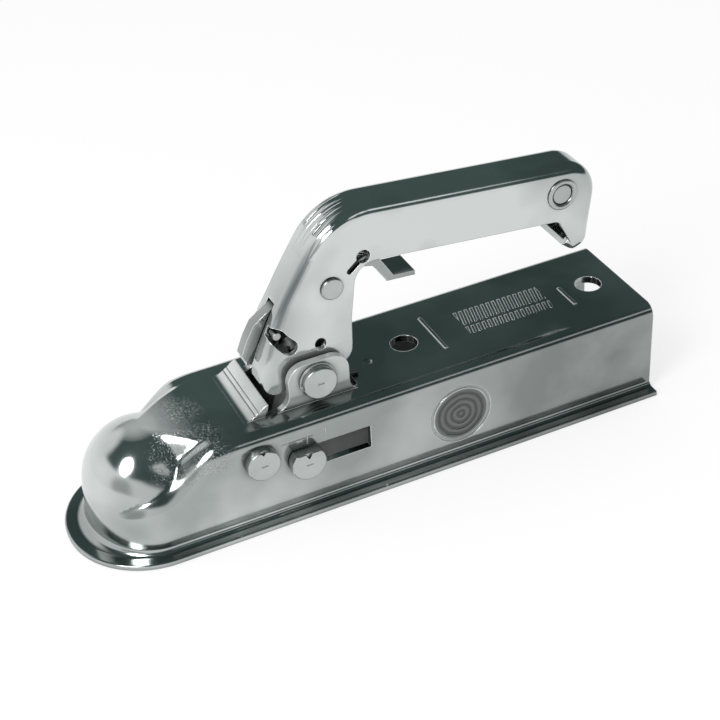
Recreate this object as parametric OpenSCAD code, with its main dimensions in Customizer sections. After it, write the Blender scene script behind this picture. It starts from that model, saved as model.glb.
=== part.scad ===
// Trailer coupling head: pressed sheet housing with a ball socket, a hinged lifting handle
// with a squeeze catch, and the clamping jaw that grips the tow ball from behind.
// Millimetres. The origin is the centre of the tow ball, +X runs back along the drawbar,
// +Z is up, and -Y is the side with the position pointer.

/* [Ball socket] */
// Diameter of the tow ball that the socket takes
ball_d = 50; // [48:0.5:52]
// Running gap between the ball and the socket
ball_gap = 0.2; // [0.1:0.05:0.4]
// Height of the edge of the front ball rest, below the ball's centre
rest_drop = 13; // [10:1:15]

/* [Housing] */
// Thickness of the pressed sheet
sheet = 4; // [3.5:0.25:4.5]
// Outer width of the channel
body_w = 69.8; // [66:0.2:76]
// Distance from the ball's centre to the rear end
body_l = 268.5; // [262:0.5:300]
// Height of the flat top above the ball's centre
top_z = 26.7; // [26:0.1:28]
// Depth of the flange's lower face below the ball's centre
base_drop = 25.7; // [25:0.1:30]
// Thickness of the flange
flange_t = 3; // [2.5:0.25:4]
// How far the flange stands out beyond the side walls
flange_w = 7.4; // [5:0.2:10]
// How much wider the flange is at the tip of the nose
nose_flange_extra = 4.6; // [2:0.2:6]
// Outer radius of the long top edges
edge_r = 6.5; // [5:0.25:7.5]
// Radius of the hollow corner between wall and flange
root_r = 3; // [2:0.25:4]
// Length of the shoulder ramp behind the dome
shoulder_l = 32; // [28:1:38]
// Height of the shoulders beside the dome
shoulder_z = 11.5; // [8:0.5:13]
// Outer radius of the shoulders beside the dome
shoulder_r = 15; // [8:0.5:16]
// Radius that blends the dome into the shoulders
dome_blend = 7; // [4:0.5:9]

/* [Drawbar bolts] */
// Diameter of the two bolt holes in the top
bolt_d = 14; // [12:0.5:16]
// Distance from the rear end to the rear bolt hole
bolt_end = 17.8; // [15:0.1:24]
// Distance between the bolt holes
bolt_pitch = 108; // [90:1:112]

/* [Top opening, lip and ears] */
// Front edge of the top opening, from the ball's centre
open_x0 = 60.5; // [60:0.1:61]
// Length of the top opening
open_l = 47.3; // [46:0.1:52]
// Distance between the inner faces of the two ears
ear_gap = 36; // [35:0.5:38]
// Height of the ears above the flat top
ear_h = 22.8; // [21:0.2:26]
// Width of an ear along the body
ear_w = 32; // [30:0.5:34]
// Corner radius of an ear
ear_r = 9; // [6:0.5:11]
// Rise of the folded lip in front of the opening
lip_rise = 6.5; // [5:0.25:7]
// Run of the folded lip
lip_run = 9.7; // [8:0.1:12]

/* [Handle pivot] */
// Distance from the ball's centre back to the handle pivot
pivot_x = 86; // [85.5:0.1:87]
// Height of the handle pivot above the flat top
pivot_up = 12.8; // [12.4:0.1:14]
// Diameter of the pivot pin
pivot_d = 12; // [10:0.5:13]
// Diameter of the pivot pin's head
pivot_head_d = 17.6; // [16:0.2:20]
// Height of the pivot pin's head
pivot_head_h = 5; // [3:0.5:6]

/* [Handle] */
// Thickness of the handle's sheet
grip_sheet = 2.8; // [2.4:0.1:3.2]
// Outer width of the grip
grip_w = 24.5; // [23.5:0.25:27]
// Outer width of the handle at its pivot
fork_w = 31; // [30:0.25:32]
// Radius of the grip's long edges
grip_r = 6.5; // [4.5:0.25:8]
// Height of the grip's front top corner above the ball's centre
grip_z = 120.3; // [116:0.5:124]
// Slope of the grip, falling to the rear, in degrees
grip_slope = 5.5; // [4:0.25:7]
// Distance from the ball's centre to the handle's rear corner
grip_end_x = 248.4; // [240:0.4:252]
// Radius of the handle's upper front bend
bend_r = 36; // [30:1:40]
// Radius of the handle's rear top bend
tail_r = 17; // [13:1:20]
// Radius of the turned-in end of the rear hook
hook_r = 6; // [4:0.5:7]
// Width of the window in the handle's front
window_w = 7.2; // [6.9:0.1:9]
// Diameter of the lock pin hole through the handle
lock_d = 6; // [4:0.5:8]
// Outer diameter of the tube at the rear end of the handle
tail_tube_d = 13; // [11:0.5:15]

/* [Catch] */
// Diameter of the catch rivet
catch_d = 6; // [5:0.5:8]
// Diameter of the catch rivet's heads
catch_head_d = 11.5; // [10:0.5:14]
// Thickness of the catch lever's sheet
catch_sheet = 2.4; // [2:0.1:3]
// Width of the catch lever between the handle's walls
catch_w = 16; // [14:0.25:17]
// Width of the catch lever's nose
nose_w = 6.2; // [5:0.1:6.5]
// Travel of the catch, in degrees
catch_travel = 16; // [12:0.5:18]
// Diameter of the catch's guide pin
guide_d = 4.2; // [4:0.1:5]

/* [Jaw, rocker and pointer] */
// Distance from the ball's centre back to the jaw pin
jaw_x = 49; // [48:0.25:50]
// Height of the jaw pin above the ball's centre
jaw_z = 12.8; // [12:0.1:13.4]
// Diameter of the jaw pin
jaw_pin_d = 10; // [8:0.5:11]
// Diameter of the jaw pin's head
jaw_head_d = 17; // [14:0.5:19]
// Thickness of the jaw's cup
jaw_t = 5; // [4:0.25:6]
// Distance from the ball's centre back to the pointer pin
pointer_x = 71.4; // [71:0.1:72]
// Height of the pointer pin above the ball's centre
pointer_z = 5.7; // [5.5:0.1:6]
// Diameter of the pointer pin
pointer_d = 6.8; // [6:0.1:7]
// Diameter of the pointer pin's head
pointer_head_d = 18; // [16:0.5:20]
// Thickness of the rocker
rocker_t = 10; // [8:0.5:12]
// Length of the side slots
slot_l = 41.4; // [40:0.2:44]
// Height of the side slots
slot_h = 13; // [12.6:0.1:14]
// Opening angle of the handle, in degrees
handle_travel = 46; // [40:1:46]

/* [Springs] */
// Wire diameter of the closing springs
close_wire = 2; // [1.6:0.1:2.2]
// Wire diameter of the jaw springs
jaw_wire = 1.8; // [1.4:0.1:2]
// Wire diameter of the catch spring
catch_wire = 1.2; // [1:0.1:1.5]

/* [Stamped marks] */
// Diameter of the round stamped mark on the side
mark_d = 33.6; // [28:0.5:36]
// Depth of the stamped marks
mark_depth = 0.5; // [0.3:0.1:0.8]

/* [Clearances] */
// Radial gap of a shaft in its hole
fit_gap = 0.05; // [0.02:0.01:0.09]
// Gap between parts that pass each other
side_gap = 0.4; // [0.3:0.05:0.6]

/* [Hidden] */
$fn = 48;

eps = 0.01;
far = 200;
half_w = body_w / 2;
wall_in = half_w - sheet;
base_z = -base_drop;
flange_top = base_z + flange_t;
dome_r = ball_d / 2 + ball_gap + sheet + 0.3;
socket_r = ball_d / 2 + ball_gap;
pivot_z = top_z + pivot_up;
ear_in = ear_gap / 2;
ear_out = ear_in + sheet;
open_x1 = open_x0 + open_l;
grip_half = grip_w / 2;
fork_half = fork_w / 2;
steel = [0.72, 0.74, 0.74];
dark_steel = [0.5, 0.52, 0.53];
spring_steel = [0.35, 0.36, 0.38];

function clamp01(t) = min(1, max(0, t));
function ease(t) = let (c = clamp01(t)) c * c * (3 - 2 * c);
function mix(a, b, t) = a + (b - a) * t;
function blend_max(a, b, k) = max(a, b) + pow(max(k - abs(a - b), 0), 2) / (4 * k);
function polar(r, a) = [r * cos(a), r * sin(a)];
function unit(v) = v / norm(v);
function turn(v, a) = [v[0] * cos(a) - v[1] * sin(a), v[0] * sin(a) + v[1] * cos(a)];

// Points of an arc that rounds the corner at b between the lines to a and c
function corner(a, b, c, r, n) =
    let (
        u = unit(a - b),
        w = unit(c - b),
        half = acos(max(-1, min(1, u * w))) / 2,
        centre = b + unit(u + w) * r / sin(half),
        start = b + u * r / tan(half) - centre,
        side = sign(u[0] * w[1] - u[1] * w[0])
    )
    [for (i = [0:n]) centre + turn(start, -side * (180 - 2 * half) * i / n)];

// A bar along Y between two planes
module bar_y(p, d, y0, y1) {
    translate([p[0], y1, p[1]])
        rotate([90, 0, 0])
            cylinder(d = d, h = y1 - y0);
}

// A side view outline drawn in X and Z, given a thickness along Y
module side_plate(y0, y1) {
    translate([0, y1, 0])
        rotate([90, 0, 0])
            linear_extrude(height = y1 - y0)
                children();
}

// The same thing on both sides of the middle plane
module both_sides() {
    children();
    mirror([0, 1, 0])
        children();
}

// A strap between two planes: two round ends joined by straight sides
module strap(p, dp, q, dq, y0, y1) {
    along = unit(q - p);
    tilt = acos((dp - dq) / 2 / norm(q - p));
    up = turn(along, tilt) * 0.998;
    low = turn(along, -tilt) * 0.998;
    bar_y(p, dp, y0, y1);
    bar_y(q, dq, y0, y1);
    side_plate(y0, y1)
        polygon([p + up * dp / 2, q + up * dq / 2, q + low * dq / 2, p + low * dp / 2]);
}

// A round wire along a path whose turns wind about the Y direction
module wire(path, d, sides = 6) {
    last = len(path) - 1;
    rings = [
        for (i = [0:last])
            let (
                t = unit(path[min(last, i + 1)] - path[max(0, i - 1)]),
                across = unit([0, 1, 0] - t * t[1]),
                out = cross(t, across)
            )
            for (k = [0:sides - 1])
                path[i] + (across * cos(360 * k / sides) + out * sin(360 * k / sides)) * d / 2
    ];
    walls = [
        for (i = [0:last - 1], k = [0:sides - 1])
            let (a = i * sides + k, b = i * sides + (k + 1) % sides)
            each [[a, b, b + sides], [a, b + sides, a + sides]]
    ];
    ends = [
        [for (k = [sides - 1:-1:0]) k],
        [for (k = [0:sides - 1]) last * sides + k]
    ];
    polyhedron(points = rings, faces = concat(walls, ends), convexity = 6);
}

// Path of a torsion spring about a Y axis at p: a leg, the coils and a second leg
function spring_path(p, r, y0, pitch, turns, a0, leg0, leg1, steps = 12) =
    let (
        n = ceil(turns * steps),
        coil = [
            for (i = [0:n])
                let (a = a0 + 360 * turns * i / n)
                [p[0] + r * cos(a), y0 + pitch * turns * i / n, p[1] + r * sin(a)]
        ],
        a1 = a0 + 360 * turns,
        head = coil[0] + leg0 * [sin(a0), 0, -cos(a0)],
        tail = coil[n] + leg1 * [-sin(a1), 0, cos(a1)]
    )
    concat([head], coil, [tail]);

// Height of the dome above the plan, or a steep fall outside it
function dome_at(x, s, r) =
    let (q = r * r - x * x - s * s)
    q > 0 ? sqrt(q) : -4 * (sqrt(x * x + s * s) - r);

// Height of a section with a flat top and round edges
function box_at(s, half, top, edge) =
    top - edge + sqrt(max(0, edge * edge - pow(max(0, s - half + edge), 2)));

// Height of the neck's ridge, which widens from the dome back to the flat top
function ridge_at(x, s, inset) =
    let (
        crown = mix(dome_r, top_z, ease(x / 40)) - inset,
        flat = (half_w - 11) * sin(90 * clamp01(x / 45)),
        over = max(0, s - flat)
    )
    crown - 0.09 * over * over;

// Half width of the wall, from the tip of the nose (turn 1) round to the side (turn 0)
function wall_half(turned) = mix(half_w, dome_r + 0.3, ease(turned));

// Height of the skin at station x, turned towards the tip, at distance s from the middle
function skin_z(x, turned, s, inset) =
    let (
        half = wall_half(turned) - inset,
        edge = max(1.5, mix(shoulder_r, edge_r, ease((x - 4) / 36)) - inset),
        shoulder = mix(shoulder_z, top_z, ease((x + 2) / shoulder_l)) - shoulder_z * turned - inset,
        dome = dome_at(x, s, inset > 0 ? socket_r - 0.3 : dome_r),
        body = box_at(s, half, shoulder, edge),
        low = shoulder - edge
    )
    s > half - eps ? low
        : max(low, blend_max(blend_max(dome, body, dome_blend),
            x > 0 ? min(ridge_at(x, s, inset), body + 30 * (half - s) / half) : -99,
            dome_blend / 2 * (1 - ease(x / 40)) + eps));

top_steps = 15;
root_steps = 3;
nose_steps = 30;
neck_steps = 16;
neck_l = 48;

// Half section of the sheet: outer skin from the middle out to the flange, inner skin back
function rib(x, turned) =
    let (
        half = wall_half(turned),
        reach = half_w + flange_w - (half_w - dome_r) * turned + nose_flange_extra * turned,
        root = root_r + 3 * ease(turned)
    )
    concat(
        [for (k = [0:top_steps]) let (s = half * sin(90 * k / top_steps)) [s, skin_z(x, turned, s, 0)]],
        [
            for (k = [0:root_steps])
                let (a = 90 * k / root_steps)
                [half + root * (1 - cos(a)), flange_top + root * (1 - sin(a))]
        ],
        [[reach - 0.6, flange_top], [reach, flange_top - 0.6], [reach, base_z], [half - sheet, base_z]],
        [
            for (k = [top_steps:-1:0])
                let (s = (half - sheet) * sin(90 * k / top_steps))
                [s, skin_z(x, turned, s, sheet)]
        ]
    );

// Three corners of a face, turned over when it looks the other way
function facet(a, b, c, over) = over ? [a, c, b] : [a, b, c];

// End face of the sheet at one rib: a strip through the roof, then a fan over wall and flange
function rib_cap(at, count, over) =
    let (
        strip = [
            for (k = [0:top_steps - 1])
                let (a = at + k, b = at + count - 1 - k)
                each [facet(a, a + 1, b, over), facet(a + 1, b - 1, b, over)]
        ],
        heel = at + count - 2 - top_steps,
        fan = [
            for (k = [top_steps:count - 4 - top_steps])
                facet(heel, at + k, at + k + 1, over)
        ]
    )
    concat(strip, fan, [facet(heel, heel + 1, at + top_steps, over)]);

// The pressed shell as one lofted skin: rear to nose on one side, nose to rear on the other
module pressed_shell() {
    stations = concat(
        [[body_l, 90, 0]],
        [for (i = [neck_steps:-1:1]) [neck_l * i / neck_steps, 90, 0]],
        [for (i = [0:nose_steps]) let (a = 90 + 180 * i / nose_steps) [0, a, 1 - abs(a - 180) / 90]],
        [for (i = [1:neck_steps]) [neck_l * i / neck_steps, 270, 0]],
        [[body_l, 270, 0]]
    );
    ribs = [
        for (st = stations)
            [
                for (q = rib(st[0], st[2]))
                    [st[0] + q[0] * cos(st[1]), q[0] * sin(st[1]), q[1]]
            ]
    ];
    count = len(ribs[0]);
    last = len(ribs) - 1;
    skins = [
        for (j = [0:last - 1], k = [0:count - 2])
            let (a = j * count + k, b = (j + 1) * count + k)
            each [[a, b, a + 1], [b, b + 1, a + 1]]
    ];
    polyhedron(points = [for (r = ribs) each r],
        faces = concat(skins, rib_cap(0, count, false), rib_cap(last * count, count, true)),
        convexity = 10);
}

lip_w = ear_gap + 2 * sheet - 1;
lip_x = open_x0 - 0.3;
lip_z = top_z + lip_rise;
plate_cut_x = open_x0 - 4.5;
toe_r = norm([lip_x - pivot_x, lip_z - pivot_z]) - side_gap;
ear_x0 = pivot_x + 1 - ear_w / 2;
ear_x1 = ear_x0 + ear_w;
ear_top = top_z + ear_h;
front_foot = 8;
rear_foot = 5;

// Side view of an ear: round top corners and hollow feet
module ear_outline() {
    root = top_z - sheet / 2;
    difference() {
        translate([ear_x0 - front_foot, root])
            square([ear_w + front_foot + rear_foot, top_z + front_foot - root]);
        translate([ear_x0 - front_foot, top_z + front_foot])
            circle(r = front_foot);
        translate([ear_x1 + rear_foot, top_z + rear_foot])
            circle(r = rear_foot);
        translate([ear_x1, top_z + rear_foot])
            square([rear_foot + 1, front_foot]);
    }
    translate([ear_x0, root])
        square([ear_w, ear_top - ear_r - root]);
    translate([ear_x0 + ear_r, root])
        square([ear_w - 2 * ear_r, ear_top - root]);
    for (x = [ear_x0 + ear_r, ear_x1 - ear_r])
        translate([x, ear_top - ear_r])
            circle(r = ear_r);
}

// Side view of the lip that is folded up in front of the opening, with a step across it
module lip_outline() {
    foot = lip_x - lip_run;
    slope = unit([lip_run, lip_rise]);
    tip = [lip_x, lip_z];
    step = [foot, top_z] + slope * 7.4;
    polygon([
        [foot, top_z - 1.5], [foot, top_z], [foot + 2.2, top_z + 0.9], step,
        step + [0.1, 0.5], tip - slope * 0.8, tip, tip - [0.2, 2.8],
        [plate_cut_x + 0.5, top_z - 3.2], [plate_cut_x - 0.5, top_z - sheet + 0.2]
    ]);
}

slot_x0 = pointer_x - pointer_d / 2 - 3;
slot_z1 = pointer_z + 6.3;
rear_bolt_x = body_l - bolt_end;
front_bolt_x = rear_bolt_x - bolt_pitch;
mark_x = front_bolt_x + 13.3;
mark_z = 0.4;
dimple_r = 5;

// The pressed sheet body with its ears, lip, slots and holes
module housing() {
    color(steel)
        difference() {
            union() {
                pressed_shell();
                both_sides()
                    side_plate(ear_in, ear_out)
                        ear_outline();
                side_plate(-lip_w / 2, lip_w / 2)
                    lip_outline();
                for (x = [front_bolt_x + 15.7, rear_bolt_x - 16.2])
                    translate([x, -12, top_z - 1])
                        cube([1.4, 24, 1.5]);
            }
            sphere(r = socket_r, $fn = 96);
            translate([plate_cut_x, -ear_in, top_z - sheet - 2])
                cube([open_x1 - plate_cut_x, ear_gap, sheet + 2 + eps]);
            both_sides()
                translate([open_x1 - 2.5, ear_in, top_z - sheet - 2])
                    cylinder(d = 5, h = sheet + 3);
            for (x = [front_bolt_x, rear_bolt_x])
                translate([x, 0, top_z - sheet - 2])
                    cylinder(d = bolt_d, h = sheet + 4);
            translate([slot_x0, -far / 2, slot_z1 - slot_h])
                cube([slot_l, far, slot_h]);
            bar_y([jaw_x, jaw_z], jaw_pin_d + 2 * fit_gap, -far / 2, far / 2);
            bar_y([pivot_x, pivot_z], pivot_d + 2 * fit_gap, -far / 2, far / 2);
            for (x = [pointer_x + 1.5, pointer_x + 10.9])
                translate([x, -half_w - 1, slot_z1 + 2.3])
                    cube([0.4, 1.3, 5.7]);
            translate([open_x1 + 12.2, -5, top_z + dimple_r - 0.8])
                sphere(r = dimple_r);
            difference() {
                bar_y([mark_x, mark_z], mark_d, -half_w - 1, mark_depth - half_w);
                bar_y([mark_x, mark_z], mark_d - 3, -half_w - 2, mark_depth - half_w + 1);
            }
        }
}

// Ring segment inside the nose that carries the front of the ball below its middle
module front_ball_rest() {
    color(steel)
        rotate([0, 0, 115])
            rotate_extrude(angle = 130, $fn = 64)
                difference() {
                    translate([0, -rest_drop])
                        square([min(socket_r + 0.2, wall_in), rest_drop - 2]);
                    circle(r = socket_r, $fn = 96);
                }
}

// Handle pivot: a headed pin, formed over on the far side
module pivot_pin() {
    color(steel)
        difference() {
            union() {
                bar_y([pivot_x, pivot_z], pivot_d, -ear_out - pivot_head_h, ear_out + 3.5);
                bar_y([pivot_x, pivot_z], pivot_head_d, -ear_out - pivot_head_h, -ear_out - 1.2);
                bar_y([pivot_x, pivot_z], pivot_head_d + 1.4, -ear_out - 1.2, -ear_out);
                bar_y([pivot_x, pivot_z], pivot_head_d - 1, ear_out, ear_out + 3.5);
            }
            translate([pivot_x - 1.8, -ear_out - pivot_head_h - eps, pivot_z - 0.5])
                cube([3.6, 0.4, 1]);
        }
}

// Washers that fill the space between the ears and the handle's fork
module pivot_washers() {
    color(dark_steel)
        both_sides()
            difference() {
                bar_y([pivot_x, pivot_z], pivot_head_d, fork_half + 0.3, ear_in);
                bar_y([pivot_x, pivot_z], pivot_d + 2 * fit_gap, 0, far);
            }
}

// Jaw pin through both walls of the housing
module jaw_pin() {
    color(steel)
        difference() {
            union() {
                bar_y([jaw_x, jaw_z], jaw_pin_d, -half_w - 5, half_w + 3);
                bar_y([jaw_x, jaw_z], jaw_head_d, -half_w - 5, -half_w);
                bar_y([jaw_x, jaw_z], jaw_head_d - 1, half_w, half_w + 3);
            }
            translate([jaw_x - 1.6, -half_w - 5 - eps, jaw_z - 0.5])
                cube([3.2, 0.4, 1]);
            translate([jaw_x, -half_w - 5, jaw_z + jaw_head_d / 2])
                rotate([0, 45, 0])
                    cube([3, 1.2, 3], center = true);
        }
}

spacer_in = wall_in - 3;
jaw_half = min(20, spacer_in - 4 * jaw_wire);

// Collars that keep the jaw in the middle of its pin
module jaw_spacers() {
    color(dark_steel)
        both_sides()
            difference() {
                bar_y([jaw_x, jaw_z], jaw_pin_d + 4, spacer_in, wall_in);
                bar_y([jaw_x, jaw_z], jaw_pin_d + 2 * fit_gap, 0, far);
            }
}

heel_x = pointer_x - 8 - side_gap;
heel_z = 5;

// Clamping jaw: a cup that holds the ball from behind and below, on two lugs
module ball_jaw() {
    cup_r = socket_r + 0.1;
    cup_turn = asin(jaw_half / (cup_r + jaw_t)) - 1;
    color(dark_steel)
        difference() {
            union() {
                rotate([0, 0, -cup_turn])
                    rotate_extrude(angle = 2 * cup_turn, $fn = 96)
                        intersection() {
                            circle(r = cup_r + jaw_t, $fn = 96);
                            translate([10, -rest_drop - 1])
                                square([cup_r + jaw_t, rest_drop + 13]);
                        }
                strap([cup_r + 2, 3], 10, [jaw_x - 4, jaw_z - 4], 12, -jaw_half, jaw_half);
                strap([jaw_x - 2, jaw_z - 5], 11, [heel_x - 4, heel_z], 8, -jaw_half, jaw_half);
                bar_y([jaw_x, jaw_z], jaw_pin_d + 6, -jaw_half, jaw_half);
            }
            rotate([0, 0, 180])
                sphere(r = cup_r, $fn = 96);
            bar_y([jaw_x, jaw_z], jaw_pin_d + 2 * fit_gap, -far / 2, far / 2);
        }
}

// Torsion springs on the jaw pin that swing the jaw's cup forward
module jaw_springs() {
    r = jaw_pin_d / 2 + jaw_wire / 2 + 0.4;
    pitch = jaw_wire + 0.2;
    turns = (spacer_in - jaw_half - jaw_wire - 0.4) / pitch;
    color(spring_steel)
        both_sides()
            wire(spring_path([jaw_x, jaw_z], r, jaw_half + 0.2 + jaw_wire / 2, pitch, turns,
                200, 9, 7), jaw_wire);
}

bend_corner = [pivot_x + 18, grip_z];
tail_corner = [grip_end_x, grip_z - (grip_end_x - bend_corner[0]) * tan(grip_slope)];
leg_low = [pivot_x - 31.3, pivot_z - 11.5];
leg_knee = [pivot_x - 22, pivot_z + 23];
heel_low = [pivot_x + 19.8, pivot_z - 12.5];
inner_bend = bend_corner + [10.4, -30.4];
inner_tail = tail_corner + [-23.6, -27.5];
hook_heel = tail_corner + [-5.6, -46.6];
hook_end = tail_corner + [-15.1, -47.9];
hook_inner = tail_corner + [-16, -42.6];
catch_at = [pivot_x + 15, pivot_z + 41.2];
guide_r = 34.6;
guide_a0 = 211.5;
guide_a1 = 225.1;
guide_rest = 212;
guide_rim = 5.5;
tail_at = tail_corner + [-22, -12.3];
key_at = [pivot_x + 11, pivot_z + 5.5];
lock_at = [pivot_x + 6.2, pivot_z + 13.6];
leg_steps = 12;
bend_steps = 10;
hook_steps = 4;

// Outer line of the handle from its toe to the end of the rear hook
function outer_line() =
    let (
        bend = corner(leg_knee, bend_corner, tail_corner, bend_r, bend_steps),
        tail = corner(bend_corner, tail_corner, hook_heel, tail_r, bend_steps),
        heel = corner(tail_corner, hook_heel, hook_end, hook_r, hook_steps)
    )
    concat(
        [
            for (i = [0:leg_steps - 1])
                let (t = i / leg_steps)
                leg_low * (1 - t) * (1 - t) + leg_knee * 2 * t * (1 - t) + bend[0] * t * t
        ],
        bend, tail,
        [for (i = [1:hook_steps - 1]) mix(tail[bend_steps], heel[0], i / hook_steps)],
        heel, [hook_end]
    );

// Free edge of the handle's walls, matched point by point with the outer line
function inner_line() =
    let (
        bend = corner(heel_low, inner_bend, inner_tail, 11, bend_steps),
        tail = corner(inner_bend, inner_tail, hook_inner, 5, bend_steps),
        last = 2 * hook_steps
    )
    concat(
        [for (i = [0:leg_steps - 1]) mix(heel_low, bend[0], i / leg_steps)],
        bend, tail,
        [for (i = [1:last + 1]) mix(tail[bend_steps], hook_inner, pow(i / (last + 1), 0.7))]
    );

// Ring of points round the folded sheet: a channel with round corners, open at its free edge
function channel_ring(outer, inner, half) =
    let (
        depth = norm(outer - inner),
        dir = (outer - inner) / depth,
        r = min(grip_r, depth - 1.5),
        quarter = [for (k = [0:5]) 18 * k],
        skin = [for (a = quarter) [half - r + r * cos(a), depth - r + r * sin(a)]],
        lining = [
            for (a = quarter)
                let (q = r - grip_sheet)
                [half - r + q * cos(a), depth - r + q * sin(a)]
        ],
        out_half = concat([[half, 0]], skin),
        in_half = concat([[half - grip_sheet, 0]], lining),
        loop = concat(
            [for (q = out_half) q],
            [for (k = [len(out_half) - 1:-1:0]) [-out_half[k][0], out_half[k][1]]],
            [for (q = in_half) [-q[0], q[1]]],
            [for (k = [len(in_half) - 1:-1:0]) in_half[k]]
        )
    )
    [for (q = loop) [inner[0] + dir[0] * q[1], q[0], inner[1] + dir[1] * q[1]]];

// End face of the folded sheet: a strip between its outer and its inner side
function ring_cap(at, count, over) = [
    for (k = [0:count / 2 - 2])
        let (a = at + k, b = at + count - 1 - k)
        each [facet(a, a + 1, b, over), facet(a + 1, b - 1, b, over)]
];

// The folded sheet of the handle before its holes are cut
module handle_channel() {
    outer = outer_line();
    inner = inner_line();
    rings = [
        for (i = [0:len(outer) - 1])
            channel_ring(outer[i], inner[i],
                mix(fork_half, grip_half, ease((i / leg_steps - 0.3) / 0.4)))
    ];
    count = len(rings[0]);
    last = len(rings) - 1;
    sides = [
        for (i = [0:last - 1], k = [0:count - 1])
            let (a = i * count + k, b = i * count + (k + 1) % count)
            each [[a, b, a + count], [b, b + count, a + count]]
    ];
    polyhedron(points = [for (r = rings) each r],
        faces = concat(sides, ring_cap(0, count, true), ring_cap(last * count, count, false)),
        convexity = 8);
}

heel_x0 = pivot_x + 13.3;
heel_z0 = pivot_z + 8;
heel_r = 9;

// Lower edge of the handle's walls: a toe, the round fork and a heel
module fork_outline() {
    translate([pivot_x - 17.8, pivot_z + 0.1])
        circle(r = 7);
    translate([pivot_x, pivot_z])
        circle(r = pivot_d / 2 + 5);
    translate([heel_x0, heel_z0])
        circle(r = heel_r);
}

// Slot struck from the catch rivet, round at both ends
module guide_slot(d, a0, a1) {
    translate(catch_at) {
        for (a = [a0, a1])
            translate(polar(guide_r, a))
                circle(d = d);
        intersection() {
            difference() {
                circle(r = guide_r + d / 2, $fn = 96);
                circle(r = guide_r - d / 2, $fn = 96);
            }
            polygon([[0, 0], polar(60, a0), polar(60, a1)]);
        }
    }
}

// Lifting handle: one folded sheet, open underneath
module handle() {
    cut_z = pivot_z + 1;
    keyhole = bend_corner + [14.2, -27.5];
    color(steel)
        difference() {
            handle_channel();
            side_plate(-far / 4, far / 4) {
                difference() {
                    union() {
                        translate([leg_low[0] - 20, cut_z - 40])
                            square([90, 40]);
                        translate([heel_x0, cut_z - 40])
                            square([30, heel_z0 + 40 - cut_z]);
                    }
                    fork_outline();
                }
                difference() {
                    translate([leg_low[0] - 20, cut_z - 40])
                        square([45, 50]);
                    translate([pivot_x, pivot_z])
                        circle(r = toe_r, $fn = 96);
                }
            }
            translate([leg_low[0] - 20, -window_w / 2, 0])
                cube([bend_corner[0] - leg_low[0], window_w, pivot_z + 36]);
            side_plate(-guide_rim, guide_rim)
                guide_slot(guide_d + 0.6, guide_rest - 0.3, guide_rest + catch_travel + 0.3);
            both_sides()
                side_plate(guide_rim - eps, far / 4)
                    guide_slot(8, guide_a0, guide_a1);
            bar_y([pivot_x, pivot_z], pivot_d + 2 * fit_gap, -far / 2, far / 2);
            bar_y(catch_at, catch_d + 2 * fit_gap, -far / 2, far / 2);
            bar_y(lock_at, lock_d, -far / 2, far / 2);
            bar_y(key_at, 5, -far / 2, far / 2);
            bar_y(tail_at, tail_tube_d + 2 * fit_gap, -far / 2, far / 2);
            bar_y(keyhole, 7.2, -far / 4, far / 4);
            strap(keyhole, 3, keyhole + [-7.4, -6.1], 3.01, -far / 4, far / 4);
        }
}

// Rocker that turns with the handle and holds the jaw shut
module clamp_rocker() {
    color(dark_steel)
        difference() {
            union() {
                strap([pivot_x, pivot_z], 20, [pointer_x, pointer_z], 16, -rocker_t / 2, rocker_t / 2);
                strap([pivot_x, pivot_z], 19, key_at, 10, -rocker_t / 2, rocker_t / 2);
            }
            bar_y([pivot_x, pivot_z], pivot_d + 2 * fit_gap, -far / 2, far / 2);
            bar_y([pointer_x, pointer_z], pointer_d + 2 * fit_gap, -far / 2, far / 2);
            bar_y(key_at, 5, -far / 2, far / 2);
        }
}

// Cross pin that keys the rocker to the handle
module rocker_key() {
    color(steel)
        bar_y(key_at, 5 - 2 * fit_gap, -fork_half, fork_half);
}

// Sleeves on the pointer pin that keep the rocker in the middle
module rocker_spacers() {
    color(dark_steel)
        both_sides()
            difference() {
                bar_y([pointer_x, pointer_z], 12, rocker_t / 2, wall_in - side_gap);
                bar_y([pointer_x, pointer_z], pointer_d + 2 * fit_gap, 0, far);
            }
}

// Torsion springs on the pivot pin that close the handle
module closing_springs() {
    r = pivot_d / 2 + close_wire / 2 + 0.4;
    room = fork_half - grip_sheet - rocker_t / 2 - close_wire - 0.6;
    turns = 2.225;
    color(spring_steel)
        both_sides()
            wire(spring_path([pivot_x, pivot_z], r, rocker_t / 2 + 0.3 + close_wire / 2,
                room / turns, turns, 180, 11.5, 27), close_wire);
}

// Pointer pin: its head shows the jaw's position in the side slot
module pointer_pin() {
    face = half_w + side_gap;
    color(steel)
        difference() {
            union() {
                bar_y([pointer_x, pointer_z], pointer_d, -face - 5.6, face + 4.4);
                bar_y([pointer_x, pointer_z], pointer_head_d, -face - 5.6, -face);
                bar_y([pointer_x, pointer_z], 13, face + 1.8, face + 4.4);
            }
            translate([pointer_x - 20, -face - 20, pointer_z + 6.3])
                cube([40, 20, 20]);
            translate([pointer_x, -face - 5.6, pointer_z + 6.3])
                rotate([0, 45, 0])
                    cube([3, 1.2, 3], center = true);
            translate([pointer_x - 1.8, -face - 5.6 - eps, pointer_z - 0.5])
                cube([3.6, 0.4, 1]);
        }
}

// Washer under the pointer pin's far end
module pointer_washer() {
    face = half_w + side_gap;
    color(dark_steel)
        difference() {
            bar_y([pointer_x, pointer_z], 17, face, face + 1.8);
            bar_y([pointer_x, pointer_z], pointer_d + 2 * fit_gap, 0, far);
        }
}

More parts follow.
